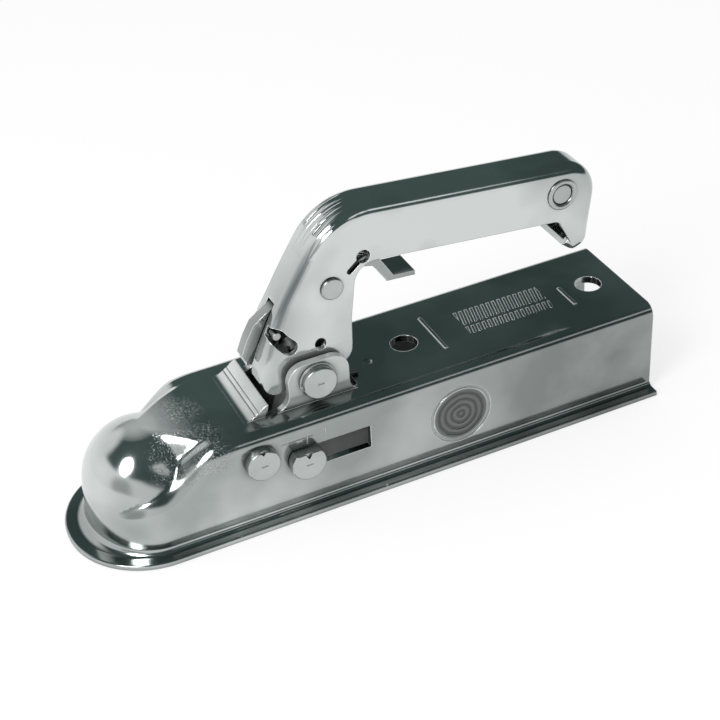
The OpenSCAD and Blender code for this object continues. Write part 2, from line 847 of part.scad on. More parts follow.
// Flared tube that ties the handle's walls together at the rear
module tail_tube() {
    color(steel)
        difference() {
            union() {
                bar_y(tail_at, tail_tube_d, -grip_half - 0.9, grip_half + 0.9);
                both_sides()
                    bar_y(tail_at, tail_tube_d + 3.4, grip_half, grip_half + 0.9);
            }
            bar_y(tail_at, tail_tube_d - 2.2 + 2 * fit_gap, -far / 2, far / 2);
        }
}

// Rivet that fills the tube
module tail_rivet() {
    color(steel)
        bar_y(tail_at, tail_tube_d - 2.2, -grip_half - 0.5, grip_half + 0.5);
}

catch_half = catch_w / 2;
nose_at = [pivot_x - 19.5, pivot_z + 20.3];

// Side view of the catch's nose, which leans out of the window in the handle's front
module nose_outline() {
    at = nose_at;
    polygon([
        at + [18, 14.6], at + [8.6, 14.4], at + [2.9, 10.9], at + [-3, 6.8], at + [-7.2, -0.4],
        at + [-10.7, -8.7], at + [-8.3, -12.4], at + [-5.6, -9.4], at + [1.5, 0.4], at + [8, 5.5],
        at + [18, 8.6]
    ]);
}

// One cheek of the catch lever, from its nose past the rivet to the finger tab
module catch_cheek(front, elbow, drop, tab, y0, y1) {
    strap(catch_at, 14, front, 6, y0, y1);
    strap(catch_at, 13.5, elbow, 7, y0, y1);
    strap(elbow, 6.9, drop, 5, y0, y1);
    strap(drop, 4.9, tab, 3.6, y0, y1);
}

// Catch lever: nose, two cheeks and the finger tab, folded from one sheet
module catch_lever() {
    elbow = catch_at + [15, 8.4];
    drop = catch_at + [25, 4.6];
    tab = catch_at + [31.5, -7.2];
    front = nose_at + [17.5, 12];
    color(steel)
        difference() {
            union() {
                side_plate(-nose_w / 2, nose_w / 2)
                    nose_outline();
                side_plate(-catch_half, catch_half)
                    polygon([
                        front + [-1.5, -3.6], front + [1.2, -3.6],
                        front + [3.6, 2.4], front + [0.9, 2.4]
                    ]);
                both_sides()
                    catch_cheek(front, elbow, drop, tab + [1, 0.6], catch_half - catch_sheet, catch_half);
                side_plate(-catch_half, catch_half)
                    polygon([
                        tab + [-1, -1.2], tab + [14.3, -2.4], tab + [14.3, 0.1], tab + [-1, 1.3]
                    ]);
            }
            side_plate(1.7 - nose_w / 2, nose_w / 2 - 1.7)
                translate([2, -2.4])
                    nose_outline();
            bar_y(catch_at, catch_d + 2 * fit_gap, -far / 2, far / 2);
            bar_y(catch_at + polar(guide_r, guide_rest), guide_d + 2 * fit_gap, -far / 2, far / 2);
        }
}

// Rivet that carries the catch lever between the handle's walls
module catch_rivet() {
    color(steel) {
        bar_y(catch_at, catch_d, -grip_half - 1.6, grip_half + 1.6);
        both_sides()
            bar_y(catch_at, catch_head_d, grip_half, grip_half + 1.6);
    }
}

// Guide pin through the catch's nose, which runs in the handle's slots
module catch_guide_pin() {
    color(steel)
        bar_y(catch_at + polar(guide_r, guide_rest), guide_d, -11.5, 11.5);
}

// Torsion spring on the catch rivet that pushes the nose forward
module catch_spring() {
    turns = 3.25;
    pitch = catch_wire + 0.25;
    color(spring_steel)
        wire(spring_path(catch_at, catch_d / 2 + catch_wire / 2 + 0.4, -pitch * turns / 2, pitch,
            turns, 270, 15, 20), catch_wire);
}

housing();
front_ball_rest();
pivot_pin();
pivot_washers();
jaw_pin();
jaw_spacers();
jaw_springs();
ball_jaw();
handle();
clamp_rocker();
rocker_key();
rocker_spacers();
closing_springs();
pointer_pin();
pointer_washer();
tail_tube();
tail_rivet();
catch_lever();
catch_rivet();
catch_guide_pin();
catch_spring();
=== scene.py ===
import math

import bmesh
import bpy
import numpy as np
from mathutils import Matrix, Vector


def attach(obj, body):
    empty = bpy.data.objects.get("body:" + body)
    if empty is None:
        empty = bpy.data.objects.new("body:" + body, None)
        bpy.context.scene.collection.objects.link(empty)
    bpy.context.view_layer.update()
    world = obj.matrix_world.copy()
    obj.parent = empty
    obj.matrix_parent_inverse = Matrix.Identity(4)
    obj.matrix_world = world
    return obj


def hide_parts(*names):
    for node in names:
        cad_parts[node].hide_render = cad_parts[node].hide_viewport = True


bl_info = {
    "name": "Trailer coupling head",
    "version": (1, 0, 0),
    "blender": (4, 5, 0),
    "location": "3D View > Sidebar > Coupling",
    "description": "Pressed coupling head with handle, catch, pins and a plain studio",
    "category": "Add Mesh",
}

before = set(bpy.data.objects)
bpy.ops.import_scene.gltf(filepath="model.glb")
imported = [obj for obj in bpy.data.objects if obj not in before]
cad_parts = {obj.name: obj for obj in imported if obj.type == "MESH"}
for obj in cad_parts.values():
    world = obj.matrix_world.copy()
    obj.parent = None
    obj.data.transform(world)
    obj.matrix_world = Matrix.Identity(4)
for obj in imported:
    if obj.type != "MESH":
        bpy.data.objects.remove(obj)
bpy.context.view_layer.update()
MM = 0.001


# Sizes and colours a user would change.


class CouplingSizes(bpy.types.PropertyGroup):
    """Sizes of the pressed sheet that only change the looks."""

    edge_radius: bpy.props.FloatProperty(
        name="Body edge radius", description="Outer radius of the body's long top edges",
        default=0.0065, min=0.004, max=0.009, unit="LENGTH")
    grip_radius: bpy.props.FloatProperty(
        name="Grip edge radius", description="Radius of the grip's long edges",
        default=0.0065, min=0.004, max=0.009, unit="LENGTH")
    head_edge: bpy.props.FloatProperty(
        name="Pin head edge", description="Rounding of the edge of each pin's head",
        default=0.0011, min=0.0003, max=0.002, unit="LENGTH")
    burr_edge: bpy.props.FloatProperty(
        name="Sheet edge", description="Rounding of cut sheet edges on the small pieces",
        default=0.00045, min=0.0001, max=0.001, unit="LENGTH")


class CouplingFinish(bpy.types.PropertyGroup):
    """Colours and textures of the plating."""

    plate: bpy.props.FloatVectorProperty(
        name="Plating", description="Colour of the bright plated sheet",
        default=(0.62, 0.65, 0.64), size=3, min=0, max=1, subtype="COLOR")
    tarnish: bpy.props.FloatVectorProperty(
        name="Tarnish", description="Colour of the cloudy areas in the plating",
        default=(0.35, 0.38, 0.37), size=3, min=0, max=1, subtype="COLOR")
    pin: bpy.props.FloatVectorProperty(
        name="Pins", description="Colour of the satin pin heads",
        default=(0.47, 0.50, 0.487), size=3, min=0, max=1, subtype="COLOR")
    dull: bpy.props.FloatVectorProperty(
        name="Inner parts", description="Colour of the unpolished inner parts",
        default=(0.33, 0.34, 0.34), size=3, min=0, max=1, subtype="COLOR")
    wire: bpy.props.FloatVectorProperty(
        name="Spring wire", description="Colour of the spring wire",
        default=(0.16, 0.16, 0.17), size=3, min=0, max=1, subtype="COLOR")
    gloss: bpy.props.FloatProperty(
        name="Sheet roughness", description="Roughness of the bright sheet",
        default=0.13, min=0, max=1, subtype="FACTOR")


class CouplingStudio(bpy.types.PropertyGroup):
    """Camera, floor and room."""

    eye: bpy.props.FloatVectorProperty(
        name="Camera place", description="Where the camera stands",
        default=(-0.1381, -0.6035, 0.5003), size=3, subtype="TRANSLATION", unit="LENGTH")
    azimuth: bpy.props.FloatProperty(
        name="Azimuth", description="Direction the camera looks in, seen from above",
        default=math.radians(-23.007), subtype="ANGLE")
    elevation: bpy.props.FloatProperty(
        name="Elevation", description="How far the camera looks down",
        default=math.radians(35.938), subtype="ANGLE")
    roll: bpy.props.FloatProperty(
        name="Roll", description="Tilt of the camera about its own axis",
        default=math.radians(3.908), subtype="ANGLE")
    lens: bpy.props.FloatProperty(
        name="Lens", description="Focal length on a 36 mm wide sensor",
        default=81.08, min=20, max=200, unit="CAMERA")
    floor: bpy.props.FloatVectorProperty(
        name="Floor", description="Colour of the studio floor",
        default=(0.93, 0.93, 0.93), size=3, min=0, max=1, subtype="COLOR")
    ceiling: bpy.props.FloatVectorProperty(
        name="Ceiling", description="Colour of the studio's dark ceiling in reflections",
        default=(0.066, 0.100, 0.093), size=3, min=0, max=1, subtype="COLOR")
    daylight: bpy.props.FloatProperty(
        name="Room light", description="Strength of the light from all round",
        default=0.85, min=0, max=3)


# Small helpers.


def placed(name, data):
    """A new object in the scene."""
    made = bpy.data.objects.new(name, data)
    bpy.context.scene.collection.objects.link(made)
    return made


def new_piece(name, bm, smooth_angle=38):
    """A mesh object from a bmesh in millimetres, with sharp edges kept above an angle."""
    bmesh.ops.recalc_face_normals(bm, faces=bm.faces)
    bmesh.ops.scale(bm, vec=(MM, MM, MM), verts=bm.verts)
    mesh = bpy.data.meshes.new(name)
    bm.to_mesh(mesh)
    bm.free()
    piece = placed(name, mesh)
    shade(piece, smooth_angle)
    return piece


def shade(piece, smooth_angle):
    piece.data.shade_smooth()
    piece.data.set_sharp_from_angle(angle=math.radians(smooth_angle))


def applied(piece):
    """Turns a piece's modifiers into plain mesh."""
    graph = bpy.context.evaluated_depsgraph_get()
    graph.update()
    made = bpy.data.meshes.new_from_object(piece.evaluated_get(graph))
    piece.modifiers.clear()
    old = piece.data
    piece.data = made
    bpy.data.meshes.remove(old)
    return piece


def combine(piece, tool, how="DIFFERENCE"):
    """Cuts a closed tool from a piece, or joins it on, and removes the tool."""
    m = piece.modifiers.new("cut", "BOOLEAN")
    m.object = tool
    m.operation = how
    m.solver = "EXACT"
    applied(piece)
    bpy.data.objects.remove(tool)
    return piece


def weighted(piece):
    """Smooth shading that keeps the flat faces flat next to round edges."""
    shade(piece, 32)
    m = piece.modifiers.new("normals", "WEIGHTED_NORMAL")
    m.keep_sharp = True
    m.weight = 60
    return applied(piece)


def finished(piece, body, finish, node):
    """Gives a piece its material by name and its body, and hides the solid of the node it stands for."""
    piece.data.materials.clear()
    piece.data.materials.append(finishes(bpy.context.scene)[finish])
    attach(piece, body)
    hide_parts(node)


def bridge(bm, rings, caps=True):
    """Faces between closed rings of corners, and over both ends where asked."""
    n = len(rings[0])
    for low, high in zip(rings, rings[1:]):
        for k in range(n):
            bm.faces.new((low[k], low[(k + 1) % n], high[(k + 1) % n], high[k]))
    if caps:
        bm.faces.new(rings[0])
        bm.faces.new(list(reversed(rings[-1])))


def fold_cap(bm, ring, steps):
    """Faces at the end of a folded sheet, from its outer side across to its inner one."""
    for k in range(steps):
        bm.faces.new((ring[k], ring[k + 1], ring[-2 - k], ring[-1 - k]))


def prism(outline, y0, y1, chamfer=0.0):
    """A closed X and Z outline given a thickness along Y, with eased edges where asked."""
    bm = bmesh.new()
    pts = np.array(outline, float)
    area = 0.5 * np.sum(pts[:, 0] * np.roll(pts[:, 1], -1) - np.roll(pts[:, 0], -1) * pts[:, 1])
    if area < 0:
        pts = pts[::-1]
    before = pts - np.roll(pts, 1, axis=0)
    after = np.roll(pts, -1, axis=0) - pts
    tangent = before / np.linalg.norm(before, axis=1)[:, None]
    tangent = tangent + after / np.linalg.norm(after, axis=1)[:, None]
    tangent /= np.maximum(np.linalg.norm(tangent, axis=1)[:, None], 1e-9)
    inward = np.stack([-tangent[:, 1], tangent[:, 0]], 1)
    levels = [(y0, 0.0), (y1, 0.0)]
    if chamfer:
        steps = [(0.0, 1.0), (0.29, 0.29), (1.0, 0.0)]
        levels = [(y0 + a * chamfer, b * chamfer) for a, b in steps]
        levels += [(y1 - a * chamfer, b * chamfer) for a, b in reversed(steps)]
    rings = []
    for y, inset in levels:
        ring = pts + inward * inset
        rings.append([bm.verts.new((p[0], y, p[1])) for p in ring])
    bridge(bm, rings)
    return bm


def through(outline, half=50):
    """A prism that reaches past both sides of the handle."""
    return prism(outline, -half, half)


def circle(p, r, n=72):
    return [(p[0] + r * math.cos(2 * math.pi * k / n), p[1] + r * math.sin(2 * math.pi * k / n))
            for k in range(n)]


def block(lo, hi):
    return prism([(lo[0], lo[2]), (hi[0], lo[2]), (hi[0], hi[2]), (lo[0], hi[2])], lo[1], hi[1])


def post(x, y, r, z0, z1):
    """A round bar along Z."""
    bm = prism(circle((x, y), r), z0, z1)
    bmesh.ops.rotate(bm, cent=(0, 0, 0), matrix=Matrix(((1, 0, 0), (0, 0, 1), (0, 1, 0))),
                     verts=bm.verts)
    return bm


def joined(*parts):
    """One bmesh from several that don't touch each other."""
    out = bmesh.new()
    for part in parts:
        mesh = bpy.data.meshes.new("part")
        part.to_mesh(mesh)
        part.free()
        out.from_mesh(mesh)
        bpy.data.meshes.remove(mesh)
    return out


def tool(name, *parts):
    """A closed cutter, or piece to join on, that is used up by combine."""
    return new_piece(name, joined(*parts))


def lathe(p, profile, n=72):
    """A solid turned about a Y axis at p from pairs of radius and Y, low Y first."""
    bm = bmesh.new()
    rings = []
    for r, y in profile:
        if r < 1e-6:
            rings.append([bm.verts.new((p[0], y, p[1]))])
        else:
            rings.append([bm.verts.new((x, y, z)) for x, z in circle(p, r, n)])
    for low, high in zip(rings, rings[1:]):
        for k in range(n):
            a, b = low[k % len(low)], low[(k + 1) % len(low)]
            c, d = high[(k + 1) % len(high)], high[k % len(high)]
            corners = [v for i, v in enumerate((a, b, c, d)) if v not in (a, b, c, d)[:i]]
            if len(corners) > 2:
                bm.faces.new(corners)
    return bm


def rounded_end(r, y_end, edge, out, steps=5, dish=0.0):
    """Profile points of a flat round end with an eased edge; out is -1 at the low Y end."""
    pts = [(0.0, y_end - out * dish), (max(0.1, (r - edge) * 0.6), y_end - out * dish * 0.5)]
    for i in range(steps + 1):
        a = math.pi / 2 * i / steps
        pts.append((r - edge + edge * math.sin(a), y_end - out * edge * (1 - math.cos(a))))
    return pts if out < 0 else list(reversed(pts))


# The pressed body.

HALF_W, TOP_Z, BASE_Z, BODY_L = 34.9, 26.7, -25.7, 268.5
SHEET, FLANGE_T, FLANGE_W, NOSE_EXTRA, ROOT_R, RIM_R = 4.0, 3.0, 7.4, 4.6, 3.0, 0.9
DOME_R, SOCKET_R, DOME_BLEND = 29.5, 25.2, 7.0
SHOULDER_L, SHOULDER_Z, SHOULDER_R = 32.0, 11.5, 15.0
PIVOT, JAW_PIN, POINTER = (86.0, 39.5), (49.0, 12.8), (71.4, 5.7)
PIVOT_R, JAW_PIN_R, CATCH_R, TUBE_R, FIT = 6.0, 5.0, 3.0, 6.5, 0.05
EAR_IN, EAR_OUT = 18.0, 22.0
OPEN_X0, OPEN_X1 = 56.0, 107.8
LIP_HALF, RELIEF_R = 21.5, 2.5
BOLTS, BOLT_R = (142.7, 250.7), 7.0
MARK, MARK_R = (156.0, 0.4), 16.8


def clamp01(t):
    return np.minimum(1, np.maximum(0, t))


def ease(t):
    c = clamp01(t)
    return c * c * (3 - 2 * c)


def mix(a, b, t):
    return a + (b - a) * t


def blend_max(a, b, k):
    return np.maximum(a, b) + np.maximum(k - np.abs(a - b), 0) ** 2 / (4 * k)


def dome_at(x, s, r):
    q = r * r - x * x - s * s
    return np.where(q > 0, np.sqrt(np.maximum(q, 0)), -4 * (np.sqrt(x * x + s * s) - r))


def box_at(s, half, top, edge):
    fall = np.maximum(0, s - half + edge)
    return top - edge + np.sqrt(np.maximum(0, edge * edge - fall * fall))


def ridge_at(x, s, inset):
    """The neck's crown, which widens from the dome back to the flat top."""
    crown = mix(DOME_R, TOP_Z, ease(x / 40)) - inset
    flat = (HALF_W - 11) * math.sin(math.pi / 2 * clamp01(x / 45))
    over = np.maximum(0, s - flat)
    return crown - 0.09 * over * over


def wall_half(turned):
    return mix(HALF_W, DOME_R + 0.3, ease(turned))


def skin_z(x, turned, s, inset, edge_radius):
    """Height of the skin at station x, turned towards the tip, at distance s from the middle."""
    half = wall_half(turned) - inset
    edge = max(1.5, mix(SHOULDER_R, edge_radius, ease((x - 4) / 36)) - inset)
    shoulder = mix(SHOULDER_Z, TOP_Z, ease((x + 2) / SHOULDER_L)) - SHOULDER_Z * turned - inset
    dome = dome_at(x, s, SOCKET_R if inset > 0 else DOME_R)
    body = box_at(s, half, shoulder, edge)
    low = shoulder - edge
    skin = blend_max(dome, body, DOME_BLEND)
    if x > 0:
        crown = np.minimum(ridge_at(x, s, inset), body + 30 * (half - s) / half)
        soft = DOME_BLEND / 2 * ease(x / 8) * (1 - ease(x / 40))
        skin = blend_max(skin, crown, soft + 0.01)
    return np.where(s > half - 0.01, low, np.maximum(low, skin))


def shell_rib(x, turned, top_steps, edge_radius):
    """Half section of the sheet: outer skin from the middle to the flange, inner skin back."""
    half = wall_half(turned)
    reach = HALF_W + FLANGE_W - (HALF_W - DOME_R) * turned + NOSE_EXTRA * turned
    root = ROOT_R + 3 * ease(turned)
    flange_top = BASE_Z + FLANGE_T
    sweep = np.sin(np.pi / 2 * np.arange(top_steps + 1) / top_steps)
    outer = half * sweep
    inner = (half - SHEET) * sweep[::-1]
    rows = list(zip(outer, skin_z(x, turned, outer, 0, edge_radius)))
    for k in range(9):
        a = math.pi / 2 * k / 8
        rows.append((half + root * (1 - math.cos(a)), flange_top + root * (1 - math.sin(a))))
    for k in range(4):
        a = math.pi / 2 * k / 3
        rows.append((reach - RIM_R + RIM_R * math.sin(a), flange_top - RIM_R + RIM_R * math.cos(a)))
    rows += [(reach, BASE_Z + 0.4), (reach - 0.4, BASE_Z), (half - SHEET, BASE_Z)]
    rows += list(zip(inner, skin_z(x, turned, inner, SHEET, edge_radius)))
    return rows


def shell_mesh(edge_radius, top_steps=44, neck_steps=44, nose_steps=84, neck_l=48.0):
    """The pressed sheet, lofted round the nose from one rear end to the other."""
    along = [neck_l * i / neck_steps for i in range(1, neck_steps + 1)] + [100.0, 160.0, BODY_L]
    stations = [(x, 90.0, 0.0) for x in reversed(along)]
    for i in range(nose_steps + 1):
        a = 90 + 180 * i / nose_steps
        stations.append((0.0, a, 1 - abs(a - 180) / 90))
    stations += [(x, 270.0, 0.0) for x in along]
    bm = bmesh.new()
    rings = []
    for x, a, turned in stations:
        c, s = math.cos(math.radians(a)), math.sin(math.radians(a))
        rings.append([bm.verts.new((x + q[0] * c, q[0] * s, q[1]))
                      for q in shell_rib(x, turned, top_steps, edge_radius)])
    count = len(rings[0])
    for one, two in zip(rings, rings[1:]):
        for k in range(count - 1):
            bm.faces.new((one[k], two[k], two[k + 1], one[k + 1]))
    for ring in (rings[0], rings[-1]):
        fold_cap(bm, ring, top_steps)
        bm.faces.new(ring[top_steps:count - top_steps])
    bmesh.ops.remove_doubles(bm, verts=bm.verts, dist=1e-4)
    bmesh.ops.dissolve_degenerate(bm, edges=bm.edges, dist=1e-5)
    return bm


def arc(centre, r, a0, a1, n=10):
    return [(centre[0] + r * math.cos(math.radians(a0 + (a1 - a0) * k / n)),
             centre[1] + r * math.sin(math.radians(a0 + (a1 - a0) * k / n)))
            for k in range(n + 1)]


def ear_outline():
    """Side view of an ear with round top corners and hollow feet."""
    x0, x1, top, r = 71.0, 103.0, 49.5, 9.0
    root, front, rear = TOP_Z - 2.0, 8.0, 5.0
    pts = [(x0 - front, root), (x1 + rear, root)]
    pts += arc((x1 + rear, TOP_Z + rear), rear, 270, 180)
    pts += arc((x1 - r, top - r), r, 0, 90)
    pts += arc((x0 + r, top - r), r, 90, 180)
    pts += arc((x0 - front, TOP_Z + front), front, 0, -90)
    return pts


def lip_outline():
    """Side view of the lip folded up in front of the top opening."""
    return [
        (47.3, TOP_Z - 2.5), (47.3, TOP_Z + 0.02), (48.5, TOP_Z + 0.09), (49.7, TOP_Z + 0.34),
        (50.9, TOP_Z + 0.76), (52.1, TOP_Z + 1.35), (53.0, TOP_Z + 1.9), (53.1, TOP_Z + 1.5),
        (53.5, TOP_Z + 1.75), (53.55, TOP_Z + 2.3), (54.9, 29.85), (55.0, 29.5), (55.4, 29.7),
        (55.45, 30.2), (56.5, 30.9),
        (56.62, 31.2), (57.0, 31.55), (59.3, 32.95), (59.8, 33.15), (60.2, 33.0),
        (60.35, 32.6), (60.0, 30.4), (56.5, 23.5), (55.5, 22.9)]


def top_bar(x, y0, y1):
    """A low raised bar across the top plate."""
    return prism([(x, TOP_Z - 1), (x, TOP_Z + 0.35), (x + 0.5, TOP_Z + 0.6), (x + 1.3, TOP_Z + 0.6),
                  (x + 1.9, TOP_Z + 0.3), (x + 1.9, TOP_Z - 1)], y0, y1)


def build_housing(sizes):
    body = new_piece("housing_sheet", shell_mesh(sizes.edge_radius / MM))
    ear = ear_outline()
    ears = [prism(ear, -EAR_OUT, -EAR_IN, 0.3), prism(ear, EAR_IN, EAR_OUT, 0.3)]
    bars = [top_bar(158.4, -14.5, 15.5), top_bar(234.2, -13.0, 4.0)]
    combine(body, tool("on_top", *ears, *bars), "UNION")
    combine(body, tool("opening", block((OPEN_X0, -EAR_IN, 20.0), (OPEN_X1, EAR_IN, TOP_Z + 0.02))))
    combine(body, tool("lip", prism(lip_outline(), -LIP_HALF, LIP_HALF, 0.35)), "UNION")
    reliefs = [post(OPEN_X1 - RELIEF_R, y, RELIEF_R, 20, 28) for y in (-EAR_IN, EAR_IN)]
    combine(body, tool("reliefs", *reliefs))
    holes = [post(x, 0, BOLT_R, 20, 30) for x in BOLTS]
    for p, r in ((JAW_PIN, JAW_PIN_R), (PIVOT, PIVOT_R)):
        holes.append(through(circle(p, r + FIT), 60))
    combine(body, tool("holes", *holes, block((65.0, -60, -1.0), (106.4, 60, 12.0))))
    ring = prism(circle(MARK, MARK_R, 96), -HALF_W - 1, -HALF_W + 0.5)
    core = prism(circle(MARK, MARK_R - 1.5, 96), -HALF_W - 2, -HALF_W + 1.5)
    combine(body, combine(tool("ring", ring), tool("core", core)))
    dimple = bmesh.new()
    bmesh.ops.create_uvsphere(dimple, u_segments=48, v_segments=32, radius=5.0,
                              matrix=Matrix.Translation((OPEN_X1 + 12.2, -5, TOP_Z + 4.2)))
    combine(body, tool("dimple", dimple))
    lines = [block((x, -HALF_W - 1, 14.3), (x + 0.35, -HALF_W + 0.25, 20.0)) for x in (72.9, 82.3)]
    lines.append(block((110.0, -42.5, -23.0), (110.8, -40.9, -20.0)))
    combine(body, tool("index_lines", *lines))
    return weighted(body)


# The handle.

BEND, LEG_LOW, LEG_KNEE = (104.0, 120.3), (54.7, 28.0), (64.0, 62.5)
TAIL = (248.4, 106.396)
HEEL_LOW, HEEL = (105.8, 27.0), (99.3, 47.5)
CATCH = (101.0, 80.7)
KEY, TAIL_PIN, LOCK = (97.0, 45.0), (226.4, 94.096), (92.2, 53.1)
GUIDE_R, GUIDE_RIM, GUIDE_D = 34.6, 5.5, 4.2
FORK_HALF, GRIP_HALF, GRIP_SHEET = 15.5, 12.25, 2.8
TOE_R = 26.16
FORK_X0, FORK_X1 = 34.0, 124.0
KEYHOLE, KEYHOLE_R, KEYHOLE_SLIT = (118.2, 92.8), 3.6, (-7.4, -6.1)


def rounded_corner(a, b, c, r, n):
    """Points of an arc that rounds the corner at b."""
    a, b, c = (np.array(p, float) for p in (a, b, c))
    u = (a - b) / np.linalg.norm(a - b)
    w = (c - b) / np.linalg.norm(c - b)
    half = math.acos(max(-1, min(1, float(u @ w)))) / 2
    centre = b + (u + w) / np.linalg.norm(u + w) * r / math.sin(half)
    start = b + u * r / math.tan(half) - centre
    side = math.copysign(1, u[0] * w[1] - u[1] * w[0])
    out = []
    for i in range(n + 1):
        t = -side * (math.pi - 2 * half) * i / n
        turned = (start[0] * math.cos(t) - start[1] * math.sin(t),
                  start[0] * math.sin(t) + start[1] * math.cos(t))
        out.append(centre + np.array(turned))
    return out


def handle_lines(leg_steps, bend_steps, mid_steps, hook_steps):
    """Outer line and free edge of the handle, matched point by point, with the share along."""
    tail_at = np.array(TAIL)
    hook_heel, hook_end = tail_at + (-5.6, -46.6), tail_at + (-15.1, -47.9)
    hook_inner = tail_at + (-16.0, -42.6)
    inner_bend, inner_tail = np.array(BEND) + (10.4, -30.4), tail_at + (-23.6, -27.5)
    o_bend = rounded_corner(LEG_KNEE, BEND, TAIL, 36.0, bend_steps)
    o_tail = rounded_corner(BEND, TAIL, hook_heel, 17.0, bend_steps)
    o_heel = rounded_corner(TAIL, hook_heel, hook_end, 6.0, hook_steps)
    i_bend = rounded_corner(HEEL_LOW, inner_bend, inner_tail, 11.0, bend_steps)
    i_tail = rounded_corner(inner_bend, inner_tail, hook_inner, 5.0, bend_steps)
    outer, inner, share = [], [], []
    for i in range(leg_steps):
        t = i / leg_steps
        outer.append(np.array(LEG_LOW) * (1 - t) ** 2 + np.array(LEG_KNEE) * 2 * t * (1 - t)
                     + o_bend[0] * t * t)
        inner.append(mix(np.array(HEEL_LOW), i_bend[0], t))
        share.append(t)
    outer += o_bend
    inner += i_bend
    for i in range(1, mid_steps):
        outer.append(mix(o_bend[-1], o_tail[0], i / mid_steps))
        inner.append(mix(i_bend[-1], i_tail[0], i / mid_steps))
    outer += o_tail
    inner += i_tail
    outer += [mix(o_tail[-1], o_heel[0], i / hook_steps) for i in range(1, hook_steps)]
    tongue, tongue_inner = tail_at + (-21.0, -42.4), tail_at + (-18.0, -39.2)
    o_tongue = rounded_corner(hook_heel, hook_end, tongue, 3.4, hook_steps)
    outer += o_heel + o_tongue + [tongue]
    last = 2 * hook_steps
    inner += [mix(i_tail[-1], hook_inner, (i / last) ** 0.7) for i in range(1, last + 1)]
    inner += [mix(hook_inner, tongue_inner, i / (hook_steps + 2)) for i in range(1, hook_steps + 3)]
    share += [1.0] * (len(outer) - len(share))
    return outer, inner, share


def channel_ring(outer, inner, half, edge):
    """One section of the folded sheet, open at its free edge."""
    depth = float(np.linalg.norm(outer - inner))
    way = (outer - inner) / depth
    r = min(edge, depth - 1.5)
    lining_r = max(0.4, r - GRIP_SHEET)
    quarter = [math.pi / 2 * k / 12 for k in range(13)]
    out_half = [(half - 0.5, 0.0), (half - 0.12, 0.15), (half, 0.6)]
    out_half += [(half - r + r * math.cos(a), depth - r + r * math.sin(a)) for a in quarter]
    in_half = [(half - GRIP_SHEET + 0.5, 0.0), (half - GRIP_SHEET + 0.12, 0.15),
               (half - GRIP_SHEET, 0.6)]
    c = (half - GRIP_SHEET - lining_r, depth - GRIP_SHEET - lining_r)
    in_half += [(c[0] + lining_r * math.cos(a), c[1] + lining_r * math.sin(a)) for a in quarter]
    loop = out_half + [(-q[0], q[1]) for q in reversed(out_half)]
    loop += [(-q[0], q[1]) for q in in_half] + list(reversed(in_half))
    return [(inner[0] + way[0] * q[1], q[0], inner[1] + way[1] * q[1]) for q in loop]


def handle_mesh(edge):
    outer, inner, share = handle_lines(36, 28, 10, 12)
    bm = bmesh.new()
    rings = []
    for o, i, t in zip(outer, inner, share):
        half = mix(FORK_HALF, GRIP_HALF, float(ease((t - 0.3) / 0.4)))
        rings.append([bm.verts.new(p) for p in channel_ring(o, i, half, edge)])
    bridge(bm, rings, caps=False)
    for ring in (rings[0], rings[-1]):
        fold_cap(bm, ring, len(ring) // 2 - 1)
    return bm


def under_fork():
    """What is cut away below the handle's fork: all but a toe, the round fork and a heel."""
    cut_z = PIVOT[1] + 1
    toe = (PIVOT[0] - 17.8, PIVOT[1] + 0.1)
    low = []
    for x in np.arange(FORK_X0, FORK_X1 + 0.5, 0.25):
        z = HEEL[1] if x > HEEL[0] else cut_z
        for c, r in ((toe, 7.0), (PIVOT, 11.0), (HEEL, 9.0)):
            if abs(x - c[0]) < r:
                z = min(z, c[1] - math.sqrt(r * r - (x - c[0]) ** 2))
        low.append((x, z))
    return [(FORK_X0, 0.0)] + low + [(FORK_X1, 0.0)]


def arc_slot(w, a0, a1):
    """A slot of half width w struck from the catch rivet, round at both ends."""
    ends = arc(CATCH, GUIDE_R, a0, a1, 1)
    pts = arc(CATCH, GUIDE_R + w, a0, a1, 12)
    pts += arc(ends[1], w, a1, a1 + 180, 14)[1:-1]
    pts += arc(CATCH, GUIDE_R - w, a1, a0, 12)
    pts += arc(ends[0], w, a0 + 180, a0 + 360, 14)[1:-1]
    return pts


def build_handle(sizes):
    piece = new_piece("handle_sheet", handle_mesh(sizes.grip_radius / MM))
    combine(piece, tool("under", through(under_fork())))
    toe = arc(PIVOT, TOE_R, 232, 155, 40)
    combine(piece, tool("toe", through([(FORK_X0, toe[0][1])] + toe + [(FORK_X0, toe[-1][1])])))
    combine(piece, tool("window", block((FORK_X0, -3.6, 0.0), (84.0, 3.6, PIVOT[1] + 36))))
    relief = arc_slot(GUIDE_D / 2 + 0.3, 211.7, 228.3)
    combine(piece, tool("relief", prism(relief, -GUIDE_RIM, GUIDE_RIM)))
    slot = arc_slot(4.0, 211.5, 225.1)
    sides = [prism(slot, GUIDE_RIM - 0.01, 50), prism(slot, -50, 0.01 - GUIDE_RIM)]
    combine(piece, tool("guide_slots", *sides))
    bores = ((PIVOT, PIVOT_R + FIT, 72), (CATCH, CATCH_R + FIT, 48), (LOCK, 3.0, 48), (KEY, 2.5, 48),
             (TAIL_PIN, TUBE_R + FIT, 72), (KEYHOLE, KEYHOLE_R, 48))
    combine(piece, tool("bores", *[through(circle(p, r, n)) for p, r, n in bores]))
    end = (KEYHOLE[0] + KEYHOLE_SLIT[0], KEYHOLE[1] + KEYHOLE_SLIT[1])
    slant = math.degrees(math.atan2(KEYHOLE_SLIT[1], KEYHOLE_SLIT[0]))
    neck = arc(end, 1.5, slant - 90, slant + 90, 12) + arc(KEYHOLE, 1.5, slant + 90, slant + 270, 12)
    combine(piece, tool("keyhole", through(neck)))
    return weighted(piece)


# Pins, rivets and tubes.


